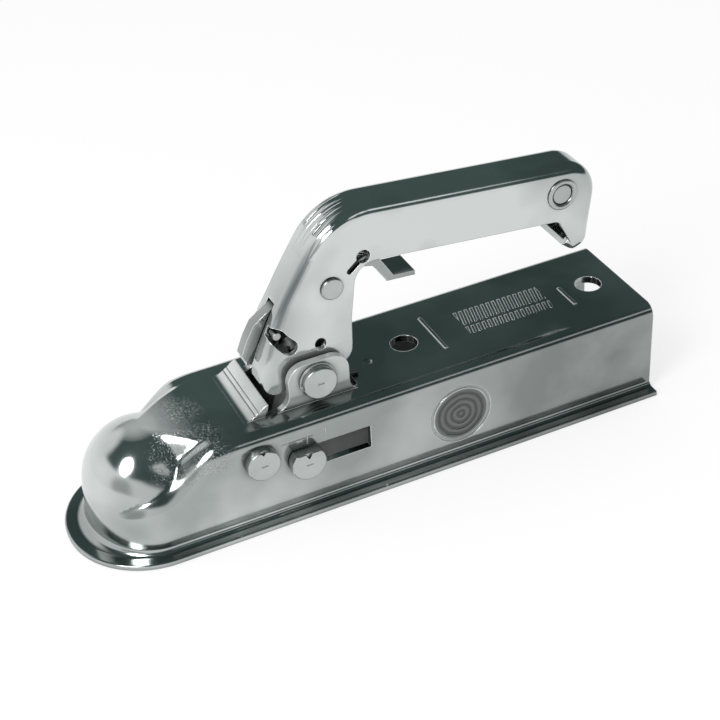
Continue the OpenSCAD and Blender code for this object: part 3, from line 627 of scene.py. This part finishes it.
def head_mark(p, near):
    """The short stamped line that each head carries on its near face."""
    x, z = p
    return block((x - 1.7, near - 1.0, z - 0.35), (x + 1.7, near + 0.35, z + 0.35))


def notch(p, top, tip, near):
    """A V cut in a head's near face, from its rim down to its tip."""
    return prism([(p[0] - 2.6, p[1] + top), (p[0] + 2.6, p[1] + top), (p[0], p[1] + tip)],
                 near - 1, near + 1.2)


def build_pins(sizes):
    edge = sizes.head_edge / MM
    made = {}
    near = -EAR_OUT - 5
    profile = rounded_end(8.8, near, edge, -1, dish=0.15)
    profile += [(8.8, -EAR_OUT - 1.3), (9.1, -EAR_OUT - 1.2), (9.5, -EAR_OUT - 1.0),
                (9.5, -EAR_OUT), (PIVOT_R, -EAR_OUT), (PIVOT_R, EAR_OUT), (8.3, EAR_OUT)]
    profile += rounded_end(8.3, EAR_OUT + 3.5, edge, 1)
    piece = new_piece("pivot_pin_round", lathe(PIVOT, profile))
    made["pivot_pin"] = combine(piece, tool("mark", head_mark(PIVOT, near)))

    near = -HALF_W - 5
    profile = rounded_end(8.5, near, edge, -1, dish=0.15)
    profile += [(8.5, -HALF_W), (JAW_PIN_R, -HALF_W), (JAW_PIN_R, HALF_W), (8.0, HALF_W)]
    profile += rounded_end(8.0, HALF_W + 3, edge, 1)
    piece = new_piece("jaw_pin_round", lathe(JAW_PIN, profile))
    marks = tool("mark", head_mark(JAW_PIN, near), notch(JAW_PIN, 9.5, 6.2, near))
    made["jaw_pin"] = combine(piece, marks)

    face = HALF_W + 0.4
    near = -face - 5.6
    profile = rounded_end(9.0, near, edge, -1, dish=0.15)
    profile += [(9.0, -face), (3.4, -face), (3.4, face), (3.4, face + 1.8), (6.5, face + 1.8)]
    profile += rounded_end(6.5, face + 4.4, 0.8, 1)
    piece = new_piece("pointer_pin_round", lathe(POINTER, profile))
    flat = block((POINTER[0] - 20, near - 2, POINTER[1] + 6.3), (POINTER[0] + 20, -face, POINTER[1] + 26))
    combine(piece, tool("flat", flat))
    marks = tool("mark", head_mark(POINTER, near), notch(POINTER, 7.5, 3.2, near))
    made["pointer_pin"] = combine(piece, marks)

    out = GRIP_HALF + 1.6
    profile = rounded_end(5.75, -out, 0.9, -1, dish=-0.25)
    profile += [(5.75, -GRIP_HALF), (CATCH_R, -GRIP_HALF), (CATCH_R, GRIP_HALF), (5.75, GRIP_HALF)]
    profile += rounded_end(5.75, out, 0.9, 1, dish=-0.25)
    made["catch_rivet"] = new_piece("catch_rivet_round", lathe(CATCH, profile))

    rim = GRIP_HALF + 1.2
    half = [(5.45, 1.1), (5.8, 0.55), (6.3, 0.12), (6.9, 0.0), (7.6, 0.12), (8.1, 0.5), (8.2, 0.9)]
    profile = [(r, -rim + drop) for r, drop in half]
    profile += [(8.2, -GRIP_HALF), (TUBE_R, -GRIP_HALF), (TUBE_R, GRIP_HALF), (8.2, GRIP_HALF)]
    profile += [(r, rim - drop) for r, drop in reversed(half)]
    bm = lathe(TAIL_PIN, profile + [profile[0]])
    bmesh.ops.remove_doubles(bm, verts=bm.verts, dist=1e-5)
    made["tail_tube"] = new_piece("tail_tube_flared", bm)
    profile = rounded_end(5.4, -GRIP_HALF - 0.3, 0.9, -1, dish=-0.2)
    profile += rounded_end(5.4, GRIP_HALF + 0.3, 0.9, 1, dish=-0.2)
    made["tail_rivet"] = new_piece("tail_rivet_round", lathe(TAIL_PIN, profile))
    for piece in made.values():
        weighted(piece)
    return made


# Pieces that keep their solid and get eased edges.


def eased_copy(node, name, width):
    """A copy of a solid with flat faces merged and its sharp edges eased."""
    bm = bmesh.new()
    bm.from_mesh(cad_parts[node].data)
    bmesh.ops.remove_doubles(bm, verts=bm.verts, dist=1e-6)
    bmesh.ops.dissolve_limit(bm, angle_limit=math.radians(0.6), verts=bm.verts, edges=bm.edges)
    mesh = bpy.data.meshes.new(name)
    bm.to_mesh(mesh)
    bm.free()
    piece = placed(name, mesh)
    m = piece.modifiers.new("eased", "BEVEL")
    m.width = width
    m.segments = 2
    m.limit_method = "ANGLE"
    m.angle_limit = math.radians(40)
    m.use_clamp_overlap = True
    return weighted(applied(piece))


# Springs.


def wire_mesh(path, d, sides=14):
    bm = bmesh.new()
    rings = []
    last = len(path) - 1
    for i, p in enumerate(path):
        t = Vector(path[min(last, i + 1)]) - Vector(path[max(0, i - 1)])
        t.normalize()
        across = (Vector((0, 1, 0)) - t * t[1]).normalized()
        out = t.cross(across)
        rings.append([bm.verts.new(Vector(p) + (across * math.cos(2 * math.pi * k / sides)
                                                + out * math.sin(2 * math.pi * k / sides)) * d / 2)
                      for k in range(sides)])
    bridge(bm, rings)
    return bm


def spring_path(p, r, y0, pitch, turns, a0, leg0, leg1, steps=36):
    n = math.ceil(turns * steps)
    coil = []
    for i in range(n + 1):
        a = math.radians(a0 + 360 * turns * i / n)
        coil.append((p[0] + r * math.cos(a), y0 + pitch * turns * i / n, p[1] + r * math.sin(a)))
    s, e = math.radians(a0), math.radians(a0 + 360 * turns)
    head = (coil[0][0] + leg0 * math.sin(s), coil[0][1], coil[0][2] - leg0 * math.cos(s))
    tail = (coil[-1][0] - leg1 * math.sin(e), coil[-1][1], coil[-1][2] + leg1 * math.cos(e))
    return [head] + coil + [tail]


def both_sides(bm):
    other = bm.copy()
    bmesh.ops.scale(other, vec=(1, -1, 1), verts=other.verts)
    return joined(bm, other)


def build_springs():
    """The torsion springs, wound with the same turns and legs as the solids."""
    made = {}
    turns, room = 2.225, 5.1
    close = spring_path(PIVOT, 7.4, 6.3, room / turns, turns, 180, 11.5, 27)
    made["closing_springs"] = new_piece("closing_spring_wire", both_sides(wire_mesh(close, 2.0)), 50)
    pitch, room = 2.0, 27.9 - 20 - 1.8 - 0.4
    jaw = spring_path(JAW_PIN, 6.3, 21.1, pitch, room / pitch, 200, 9, 7)
    made["jaw_springs"] = new_piece("jaw_spring_wire", both_sides(wire_mesh(jaw, 1.8)), 50)
    turns, pitch = 3.25, 1.45
    small = spring_path(CATCH, 4.0, -pitch * turns / 2, pitch, turns, 270, 15, 20)
    made["catch_spring"] = new_piece("catch_spring_wire", wire_mesh(small, 1.2), 50)
    return made


# Finishes.


WHITE = (1, 1, 1)
# Pale colours of the painted highlights along sharp edges, on the plate and on steel.
EDGE_HIGHLIGHT_PLATE, EDGE_HIGHLIGHT_STEEL = (0.90, 0.92, 0.92), (0.86, 0.88, 0.88)
# Colour of the painted dark reflections down the handle's leg.
DARK_REFLECTION_COLOUR = (0.13, 0.155, 0.155)


def scaled(colour, share):
    return tuple(c * share for c in colour)


class Nodes:
    """Short names for building one node tree."""

    def __init__(self, tree):
        self.tree = tree
        self.where = self.add("ShaderNodeTexCoord").outputs
        self.place = self.where["Object"]

    def add(self, kind, inputs=None, **values):
        """A node with its settings, and its inputs linked or set, by name or number."""
        node = self.tree.nodes.new(kind)
        for key, value in values.items():
            setattr(node, key, value)
        for key, value in (inputs or {}).items():
            if isinstance(value, bpy.types.NodeSocket):
                self.tree.links.new(value, node.inputs[key])
            elif node.inputs[key].type == "RGBA":
                node.inputs[key].default_value = (*value, 1)
            else:
                node.inputs[key].default_value = value
        return node

    def parts(self, vector):
        """A vector's X, Y and Z."""
        return self.add("ShaderNodeSeparateXYZ", {"Vector": vector}).outputs

    def noise(self, scale, detail=3.0, rough=0.55, place=None):
        place = self.place if place is None else place
        inputs = {"Scale": scale, "Detail": detail, "Roughness": rough, "Vector": place}
        return self.add("ShaderNodeTexNoise", inputs).outputs["Fac"]

    def spread(self, value, a0, a1, b0, b1, kind="LINEAR"):
        """A value from the range a0 to a1 carried over to the range b0 to b1."""
        inputs = {"Value": value, "From Min": a0, "From Max": a1, "To Min": b0, "To Max": b1}
        return self.add("ShaderNodeMapRange", inputs, interpolation_type=kind).outputs["Result"]

    def band(self, value, a0, a1, b0, b1):
        """1 between a1 and b0, falling to 0 at a0 and at b1."""
        return self.times(self.spread(value, a0, a1, 0, 1), self.spread(value, b0, b1, 1, 0))

    def near_line(self, value, at, half):
        """1 where a value is close to a given one, 0 elsewhere."""
        off = self.maths("ABSOLUTE", self.maths("SUBTRACT", value, at))
        return self.spread(off, 0.0, half, 1.0, 0.0)

    def maths(self, how, a, b=0.0):
        return self.add("ShaderNodeMath", {0: a, 1: b}, operation=how).outputs["Value"]

    def times(self, first, *others):
        for value in others:
            first = self.maths("MULTIPLY", first, value)
        return first

    def vectors(self, how, a, b):
        """One number from two vectors, such as their distance."""
        return self.add("ShaderNodeVectorMath", {0: a, 1: b}, operation=how).outputs["Value"]

    def tint(self, amount, low, high, how="MIX"):
        """Two colours mixed; either may be linked or plain."""
        inputs = {"Factor": amount, 6: low, 7: high}
        return self.add("ShaderNodeMix", inputs, data_type="RGBA", blend_type=how).outputs[2]

    def bump(self, height, distance, strength, before):
        inputs = {"Height": height, "Distance": distance, "Strength": strength, "Normal": before}
        return self.add("ShaderNodeBump", inputs).outputs["Normal"]

    def painted_crevice_shade(self, colour, reach=0.004, darkest=0.28):
        """Darkens a colour where surfaces stand close together: painted shade in creases, gaps and round
        pin heads.
        """
        near = self.add("ShaderNodeAmbientOcclusion", {"Distance": reach}, samples=6)
        return self.tint(1.0, colour, self.spread(near.outputs["AO"], 0.35, 0.9, darkest, 1.0), "MULTIPLY")

    def soft_edges(self, radius):
        return self.add("ShaderNodeBevel", {"Radius": radius}, samples=6).outputs["Normal"]

    def painted_edge_highlight(self, soft):
        """1 along sharp edges, where a painted highlight keeps the plate bright, and 0 on smooth faces."""
        face = self.add("ShaderNodeNewGeometry").outputs["Normal"]
        return self.spread(self.vectors("DOT_PRODUCT", soft, face), 0.86, 0.985, 1.0, 0.0)

    def dress(self, colour, metal, rough, normal):
        surface = self.tree.nodes["Principled BSDF"]
        for key, socket in (("Base Color", colour), ("Metallic", metal), ("Roughness", rough),
                            ("Normal", normal)):
            self.tree.links.new(socket, surface.inputs[key])


def new_material(name):
    material = bpy.data.materials.new(name)
    material.use_nodes = True
    return material, Nodes(material.node_tree)


def plated_sheet(name, finish, marks=None, gloss=1.0, depth=1.0):
    """Bright zinc plate: cloudy colour, faint waviness, a fine grain and the marks of a piece, with painted
    highlights along sharp edges and painted shade where surfaces stand close together; a depth below 1
    darkens the whole plate as painted shade.
    """
    material, n = new_material(name)
    gloss = finish.gloss * gloss
    patch = n.spread(n.noise(14, 3, 0.5), 0.40, 0.64, 0.0, 1.0)
    colour = n.tint(patch, scaled(finish.plate, depth), scaled(finish.tarnish, depth))
    soft = n.soft_edges(0.0007)
    edge = n.painted_edge_highlight(soft)
    normal = n.bump(n.noise(40, 2, 0.4), 0.0003, 0.3, soft)
    normal = n.bump(n.noise(1800, 2), 0.00001, 0.2, normal)
    pale = edge
    if marks:
        colour, normal, pale = marks(n, finish, colour, normal)
        pale = n.maths("MAXIMUM", pale, edge)
    rough = n.spread(n.noise(90, 3), 0.3, 0.75, gloss * 0.8, gloss * 1.4)
    # Less metallic where pale. Along sharp edges this and the pale colour make a painted highlight, and
    # painted shade then darkens the colour where surfaces stand close together.
    metal = n.spread(pale, 0.0, 1.0, 1.0, 0.45)
    n.dress(n.painted_crevice_shade(n.tint(edge, colour, EDGE_HIGHLIGHT_PLATE)), metal, rough, normal)
    return material


def body_marks(n, finish, colour, normal):
    """The body's painted shade towards the rear, pitted neck, plain stamped marks, and its paler ears and
    lip.
    """
    x, y, z = n.parts(n.place)
    # Painted shade: the walls darken towards the rear end, and the top plate only a little. Cloudy mottle
    # is added over the same part.
    rear = n.times(n.spread(x, 0.02, 0.24, 0.0, 0.62), n.spread(z, 0.024, 0.026, 1.0, 0.2))
    colour = n.tint(rear, colour, scaled(finish.tarnish, 0.3))
    mottle = n.times(rear, n.spread(n.noise(38, 4, 0.5), 0.42, 0.66, 0.0, 0.7))
    colour = n.tint(mottle, colour, finish.tarnish)

    # Pits and a faint ring on the neck, and a faint crease along the walls.
    off_neck = n.vectors("DISTANCE", n.place, (0.021, 0.001, 0.028))
    side = n.times(n.band(x, -0.004, 0.006, 0.030, 0.040),
                   n.spread(y, -0.014, -0.008, 1, 0), n.spread(z, 0.010, 0.016, 0, 1))
    pitted = n.maths("MAXIMUM", n.spread(off_neck, 0.006, 0.016, 1.0, 0.0), side)
    pits = n.times(n.spread(n.noise(1500, 2, 0.6), 0.58, 0.68, 0, 1), pitted)
    normal = n.bump(pits, 0.00012, 0.8, normal)
    ring = n.times(n.near_line(off_neck, 0.0085, 0.0006), n.spread(n.noise(220, 2), 0.45, 0.6, 0, 1))
    normal = n.bump(ring, 0.00015, 0.6, normal)
    crease = n.times(n.near_line(n.maths("SUBTRACT", z, n.times(x, 0.012)), 0.0172, 0.0004),
                     n.spread(n.noise(30, 2), 0.42, 0.55, 0, 1),
                     n.spread(n.maths("ABSOLUTE", y), 0.0335, 0.0345, 0, 1))
    normal = n.bump(crease, 0.00012, 0.7, normal)
    pale = n.maths("MAXIMUM", n.spread(z, 0.0275, 0.0295, 0.0, 1.0), n.times(pits, 0.6))

    # The dark disc with rings on the side wall.
    middle = (MARK[0] * MM, -HALF_W * MM, MARK[1] * MM)
    disc = n.spread(n.vectors("DISTANCE", n.place, middle), 0.0142, 0.0148, 1.0, 0.0)
    centred = n.add("ShaderNodeMapping", {"Vector": n.place, "Location": scaled(middle, -1)})
    inputs = {"Vector": centred.outputs["Vector"], "Scale": 90.0, "Distortion": 1.5}
    hatch = n.add("ShaderNodeTexWave", inputs, wave_type="RINGS", rings_direction="SPHERICAL")
    lines = n.times(disc, n.spread(hatch.outputs["Fac"], 0.35, 0.65, 0, 1))
    colour = n.tint(n.times(disc, 0.75), colour, scaled(finish.tarnish, 0.2))
    colour = n.tint(n.times(lines, 0.6), colour, scaled(finish.tarnish, 0.15))
    normal = n.bump(lines, 0.00015, 0.7, normal)

    # Two rows of plain strokes on the top plate.
    across = n.maths("MAXIMUM", n.band(y, -0.0010, -0.0005, 0.0105, 0.0110),
                     n.band(y, -0.0095, -0.0090, -0.0035, -0.0030))
    rows = n.times(across, n.spread(z, 0.0250, 0.0260, 0, 1), n.band(x, 0.1760, 0.1763, 0.2247, 0.2250))
    slant = n.maths("ADD", x, n.times(y, -0.25))
    strokes = n.spread(n.maths("PINGPONG", slant, 0.0016), 0.0006, 0.0011, 0, 1)
    normal = n.bump(n.times(strokes, rows), 0.0009, 1.0, normal)
    return colour, normal, pale


def fold_marks(n, finish, colour, normal):
    """Lengthwise fold lines round the handle's bend, painted dark reflections down its leg's rounded
    corners, a paler fork.
    """
    x, _, z = n.parts(n.place)
    stretched = n.add("ShaderNodeMapping", {"Vector": n.place, "Scale": (18, 420, 18)})
    waves = n.noise(1.0, 2.0, 0.5, stretched.outputs["Vector"])
    bend = n.times(n.band(x, 0.070, 0.086, 0.104, 0.118), n.spread(z, 0.098, 0.108, 0, 1))
    normal = n.bump(n.times(waves, bend), 0.0026, 0.9, normal)
    # Painted reflection: dark streaks down the leg where its surface turns sideways, on its rounded
    # corners.
    sideways = n.maths("ABSOLUTE", n.parts(n.where["Normal"])[1])
    lean = n.maths("SUBTRACT", x, n.times(z, 0.52))
    leg = n.times(n.band(z, 0.060, 0.074, 0.100, 0.116), n.spread(lean, 0.036, 0.042, 1, 0))
    dark_reflection = n.times(n.band(sideways, 0.15, 0.42, 0.86, 0.99), leg, n.spread(waves, 0.35, 0.60, 0.55, 0.95))
    return n.tint(dark_reflection, colour, DARK_REFLECTION_COLOUR), normal, n.spread(z, 0.040, 0.075, 0.7, 0.0)


def satin_steel(name, colour, gloss, grain=0.25, highlight_share=0.0):
    """Satin steel for pin heads and inner parts: fine grain and a little stain, with painted highlights
    along sharp edges and painted shade where surfaces stand close together.
    """
    material, n = new_material(name)
    stain = n.spread(n.noise(60, 3, 0.5), 0.4, 0.75, 0.0, 1.0)
    soft = n.soft_edges(0.0005)
    # Painted highlight: sharp edges turn pale and less metallic, as strongly as each material asks. Painted
    # shade then darkens the colour where surfaces stand close together.
    edge = n.times(n.painted_edge_highlight(soft), highlight_share)
    stained_and_highlit = n.tint(edge, n.tint(stain, colour, scaled(colour, 0.86)), EDGE_HIGHLIGHT_STEEL)
    rough = n.spread(n.noise(300, 3), 0.3, 0.7, gloss * 0.85, gloss * 1.2)
    normal = n.bump(n.noise(2600, 3, 0.6), 0.00001, grain, soft)
    n.dress(n.painted_crevice_shade(stained_and_highlit, 0.006, 0.12), n.spread(edge, 0.0, 1.0, 1.0, 0.5), rough, normal)
    return material


def finishes(scene):
    """The materials, made once and shared."""
    f = scene.coupling_finish
    if "plated housing sheet" not in bpy.data.materials:
        plated_sheet("plated housing sheet", f, body_marks)
        plated_sheet("plated handle sheet", f, fold_marks, 0.8)
        # The catch's plate is a darker copy: painted shade for the catch inside the handle's window.
        plated_sheet("plated catch sheet in painted shade", f, None, 1.1, 0.62)
        satin_steel("satin pin head", f.pin, 0.30, highlight_share=0.3)
        satin_steel("dull inner steel", f.dull, 0.42, 0.6)
        satin_steel("dark spring wire", f.wire, 0.38)
    return bpy.data.materials


# Operators, one for each piece or group.


class COUPLING_OT_housing(bpy.types.Operator):
    """Make the smooth pressed body with its ears, lip, slots and holes"""

    bl_idname = "coupling.housing"
    bl_label = "Pressed body"

    def execute(self, context):
        piece = build_housing(context.scene.coupling_sizes)
        finished(piece, "housing", "plated housing sheet", "housing")
        return {"FINISHED"}


class COUPLING_OT_handle(bpy.types.Operator):
    """Make the folded sheet handle"""

    bl_idname = "coupling.handle"
    bl_label = "Handle"

    def execute(self, context):
        piece = build_handle(context.scene.coupling_sizes)
        finished(piece, "handle", "plated handle sheet", "handle")
        return {"FINISHED"}


class COUPLING_OT_pins(bpy.types.Operator):
    """Make the turned pins, the rivets and the flared tube"""

    bl_idname = "coupling.pins"
    bl_label = "Pins and rivets"

    def execute(self, context):
        for node, piece in build_pins(context.scene.coupling_sizes).items():
            body = "housing" if node in ("pivot_pin", "jaw_pin") else "handle"
            finished(piece, body, "satin pin head", node)
        return {"FINISHED"}


class COUPLING_OT_catch(bpy.types.Operator):
    """Make the catch lever and its guide pin with eased edges"""

    bl_idname = "coupling.catch"
    bl_label = "Catch"

    def execute(self, context):
        width = context.scene.coupling_sizes.burr_edge
        piece = eased_copy("catch_lever", "catch_lever_sheet", width)
        finished(piece, "catch", "plated catch sheet in painted shade", "catch_lever")
        piece = eased_copy("catch_guide_pin", "catch_guide_pin_round", width)
        finished(piece, "catch", "satin pin head", "catch_guide_pin")
        return {"FINISHED"}


class COUPLING_OT_inner_parts(bpy.types.Operator):
    """Give the inner parts eased edges and a dull steel finish"""

    bl_idname = "coupling.inner_parts"
    bl_label = "Inner parts"

    def execute(self, context):
        width = context.scene.coupling_sizes.burr_edge
        groups = {"housing": ("front_ball_rest", "pivot_washers", "jaw_spacers"), "jaw": ("ball_jaw",),
                  "handle": ("clamp_rocker", "rocker_key", "rocker_spacers", "pointer_washer")}
        for body, nodes in groups.items():
            for node in nodes:
                piece = eased_copy(node, node + "_eased", width)
                finished(piece, body, "dull inner steel", node)
        return {"FINISHED"}


class COUPLING_OT_springs(bpy.types.Operator):
    """Wind the torsion springs from round wire"""

    bl_idname = "coupling.springs"
    bl_label = "Springs"

    def execute(self, context):
        bodies = {"closing_springs": "handle", "jaw_springs": "jaw", "catch_spring": "catch"}
        for node, piece in build_springs().items():
            finished(piece, bodies[node], "dark spring wire", node)
        return {"FINISHED"}


class COUPLING_OT_studio(bpy.types.Operator):
    """Set up the pale floor, the soft lamp, the room light and the camera"""

    bl_idname = "coupling.studio"
    bl_label = "Studio"

    def execute(self, context):
        studio = context.scene.coupling_studio
        make_floor(studio)
        make_room(context.scene, studio)
        make_lamp()
        make_camera(context.scene, studio)
        context.scene.view_settings.view_transform = "Standard"
        return {"FINISHED"}


# Studio.


FLOOR_HALF, FLOOR_GLOW = 3.0, 0.65
# Where the dark ceiling starts and is full, and how far it leans towards the drawbar end.
CEILING_FROM, CEILING_FULL, CEILING_LEAN = 0.22, 0.38, 0.30
# Pale windows that only polished metal shows: direction, outer and inner angle, strength.
WINDOWS = (
    ((-0.47, 0.72, 0.51), 30, 12, 1.0),
    ((0.26, -0.72, 0.62), 7, 4, 1.0),
    ((0.44, -0.66, 0.60), 7, 4, 1.0),
)
# A dark flag in the white part, which draws dark streaks along rounded edges.
FLAGS = (
    ((-0.84, -0.50, 0.16), 24, 9, 0.5),
)
# The soft box: place, target, width, height and power.
LAMP = ((-0.70, -0.46, 0.92), (0.05, 0, 0.0), 0.48, 0.72, 8.0)


def seen_directly(n):
    """1 for the camera's own rays, and 1 for these, mirrored rays and rays through glass."""
    path = n.add("ShaderNodeLightPath").outputs
    mirrored = n.maths("MAXIMUM", path["Is Camera Ray"], path["Is Glossy Ray"])
    return path["Is Camera Ray"], n.maths("MAXIMUM", mirrored, path["Is Transmission Ray"])


def floor_outside_painted_shadow(n):
    """1 on the open floor and 0 under the body, where no light reaches: a painted shadow that takes the
    floor's glow away in the body's footprint.
    """
    x, y, _ = n.parts(n.place)
    shares = []
    for along, middle, half in ((x, BODY_L / 2, BODY_L / 2), (y, 0.0, HALF_W)):
        off = n.maths("ABSOLUTE", n.maths("SUBTRACT", along, middle * MM))
        shares.append(n.spread(off, (half - 10) * MM, half * MM, 0, 1))
    return n.maths("MAXIMUM", *shares)


def make_floor(studio):
    mesh = bpy.data.meshes.new("studio_floor")
    turns = ((-1, -1), (1, -1), (1, 1), (-1, 1))
    corners = [(x * FLOOR_HALF, y * FLOOR_HALF, BASE_Z * MM) for x, y in turns]
    mesh.from_pydata(corners, [], [(0, 1, 2, 3)])
    floor = placed("studio_floor", mesh)
    material, n = new_material("studio floor")
    surface = n.tree.nodes["Principled BSDF"]
    surface.inputs["Base Color"].default_value = (*studio.floor, 1)
    surface.inputs["Roughness"].default_value = 0.9
    surface.inputs["Specular IOR Level"].default_value = 0.0
    _, direct = seen_directly(n)
    # The floor glows for camera and mirrored rays, but not in the painted shadow under the body.
    shown = n.times(direct, FLOOR_GLOW, floor_outside_painted_shadow(n))
    glow = n.add("ShaderNodeEmission", {"Color": WHITE, "Strength": 1.0})
    inputs = {"Fac": shown, 1: surface.outputs["BSDF"], 2: glow.outputs["Emission"]}
    blend = n.add("ShaderNodeMixShader", inputs)
    n.tree.links.new(blend.outputs["Shader"], n.tree.nodes["Material Output"].inputs["Surface"])
    mesh.materials.append(material)


def aimed(n, way, aim, wide, narrow, outside, inside):
    """A value that changes softly between two angles from a direction."""
    near = n.vectors("DOT_PRODUCT", way, Vector(aim).normalized())
    ends = [math.cos(math.radians(angle)) for angle in (wide, narrow)]
    return n.spread(near, *ends, outside, inside, "SMOOTHSTEP")


def make_room(scene, studio):
    """White low down and all round, with a dark ceiling that polished tops reflect."""
    world = bpy.data.worlds.new("studio_room")
    scene.world = world
    world.use_nodes = True
    world.node_tree.nodes.clear()
    n = Nodes(world.node_tree)
    way = n.where["Generated"]
    x, _, z = n.parts(way)
    height = n.maths("ADD", n.times(x, CEILING_LEAN), z)
    dark = n.spread(height, CEILING_FROM, CEILING_FULL, 0, 1, "SMOOTHSTEP")
    for *where, strength in WINDOWS:
        dark = n.times(dark, aimed(n, way, *where, 1.0, 1.0 - strength))
    for *where, strength in FLAGS:
        dark = n.maths("MAXIMUM", dark, aimed(n, way, *where, 0.0, strength))
    wall = n.tint(dark, WHITE, studio.ceiling)
    straight, direct = seen_directly(n)
    backdrop = n.tint(straight, wall, WHITE)
    seen = n.add("ShaderNodeBackground", {"Color": backdrop, "Strength": 1.0})
    fill = n.add("ShaderNodeBackground", {"Color": WHITE, "Strength": studio.daylight})
    inputs = {"Fac": direct, 1: fill.outputs["Background"], 2: seen.outputs["Background"]}
    blend = n.add("ShaderNodeMixShader", inputs)
    n.add("ShaderNodeOutputWorld", {"Surface": blend.outputs["Shader"]})


def make_lamp():
    place, aim, width, height, power = LAMP
    light = bpy.data.lights.new("lamp_left", "AREA")
    light.shape = "ELLIPSE"
    light.size = width
    light.size_y = height
    light.energy = power
    lamp = placed("lamp_left", light)
    lamp.location = place
    lamp.rotation_euler = (Vector(aim) - Vector(place)).to_track_quat("-Z", "Y").to_euler()


def make_camera(scene, studio):
    a, e, r = studio.azimuth, studio.elevation, studio.roll
    back = Vector((math.sin(a) * math.cos(e), -math.cos(a) * math.cos(e), math.sin(e)))
    right = Vector((math.cos(a), math.sin(a), 0))
    up = back.cross(right)
    tilted = right * math.cos(r) - up * math.sin(r)
    upright = up * math.cos(r) + right * math.sin(r)
    data = bpy.data.cameras.new("camera")
    data.lens = studio.lens
    data.sensor_width = 36
    data.clip_start = 0.01
    data.clip_end = 20
    camera = placed("camera", data)
    turn = Matrix((tilted, upright, back)).transposed().to_4x4()
    camera.matrix_world = Matrix.Translation(Vector(studio.eye)) @ turn
    scene.camera = camera


# Panel and registration.

STEPS = (
    COUPLING_OT_housing, COUPLING_OT_handle, COUPLING_OT_pins, COUPLING_OT_catch,
    COUPLING_OT_inner_parts, COUPLING_OT_springs, COUPLING_OT_studio,
)


class COUPLING_PT_panel(bpy.types.Panel):
    """Lists the settings and the steps in the sidebar"""

    bl_idname = "COUPLING_PT_panel"
    bl_label = "Coupling head"
    bl_space_type = "VIEW_3D"
    bl_region_type = "UI"
    bl_category = "Coupling"

    def draw(self, context):
        for group in ("coupling_sizes", "coupling_finish", "coupling_studio"):
            settings = getattr(context.scene, group)
            box = self.layout.box()
            for key in settings.__annotations__:
                box.prop(settings, key)
        for step in STEPS:
            self.layout.operator(step.bl_idname)


CLASSES = (CouplingSizes, CouplingFinish, CouplingStudio, *STEPS, COUPLING_PT_panel)


def register():
    for cls in CLASSES:
        bpy.utils.register_class(cls)
    bpy.types.Scene.coupling_sizes = bpy.props.PointerProperty(type=CouplingSizes)
    bpy.types.Scene.coupling_finish = bpy.props.PointerProperty(type=CouplingFinish)
    bpy.types.Scene.coupling_studio = bpy.props.PointerProperty(type=CouplingStudio)


def unregister():
    del bpy.types.Scene.coupling_studio
    del bpy.types.Scene.coupling_finish
    del bpy.types.Scene.coupling_sizes
    for cls in reversed(CLASSES):
        bpy.utils.unregister_class(cls)


def main():
    register()
    bpy.ops.coupling.housing()
    bpy.ops.coupling.handle()
    bpy.ops.coupling.pins()
    bpy.ops.coupling.catch()
    bpy.ops.coupling.inner_parts()
    bpy.ops.coupling.springs()
    bpy.ops.coupling.studio()


if __name__ == "__main__":
    main()
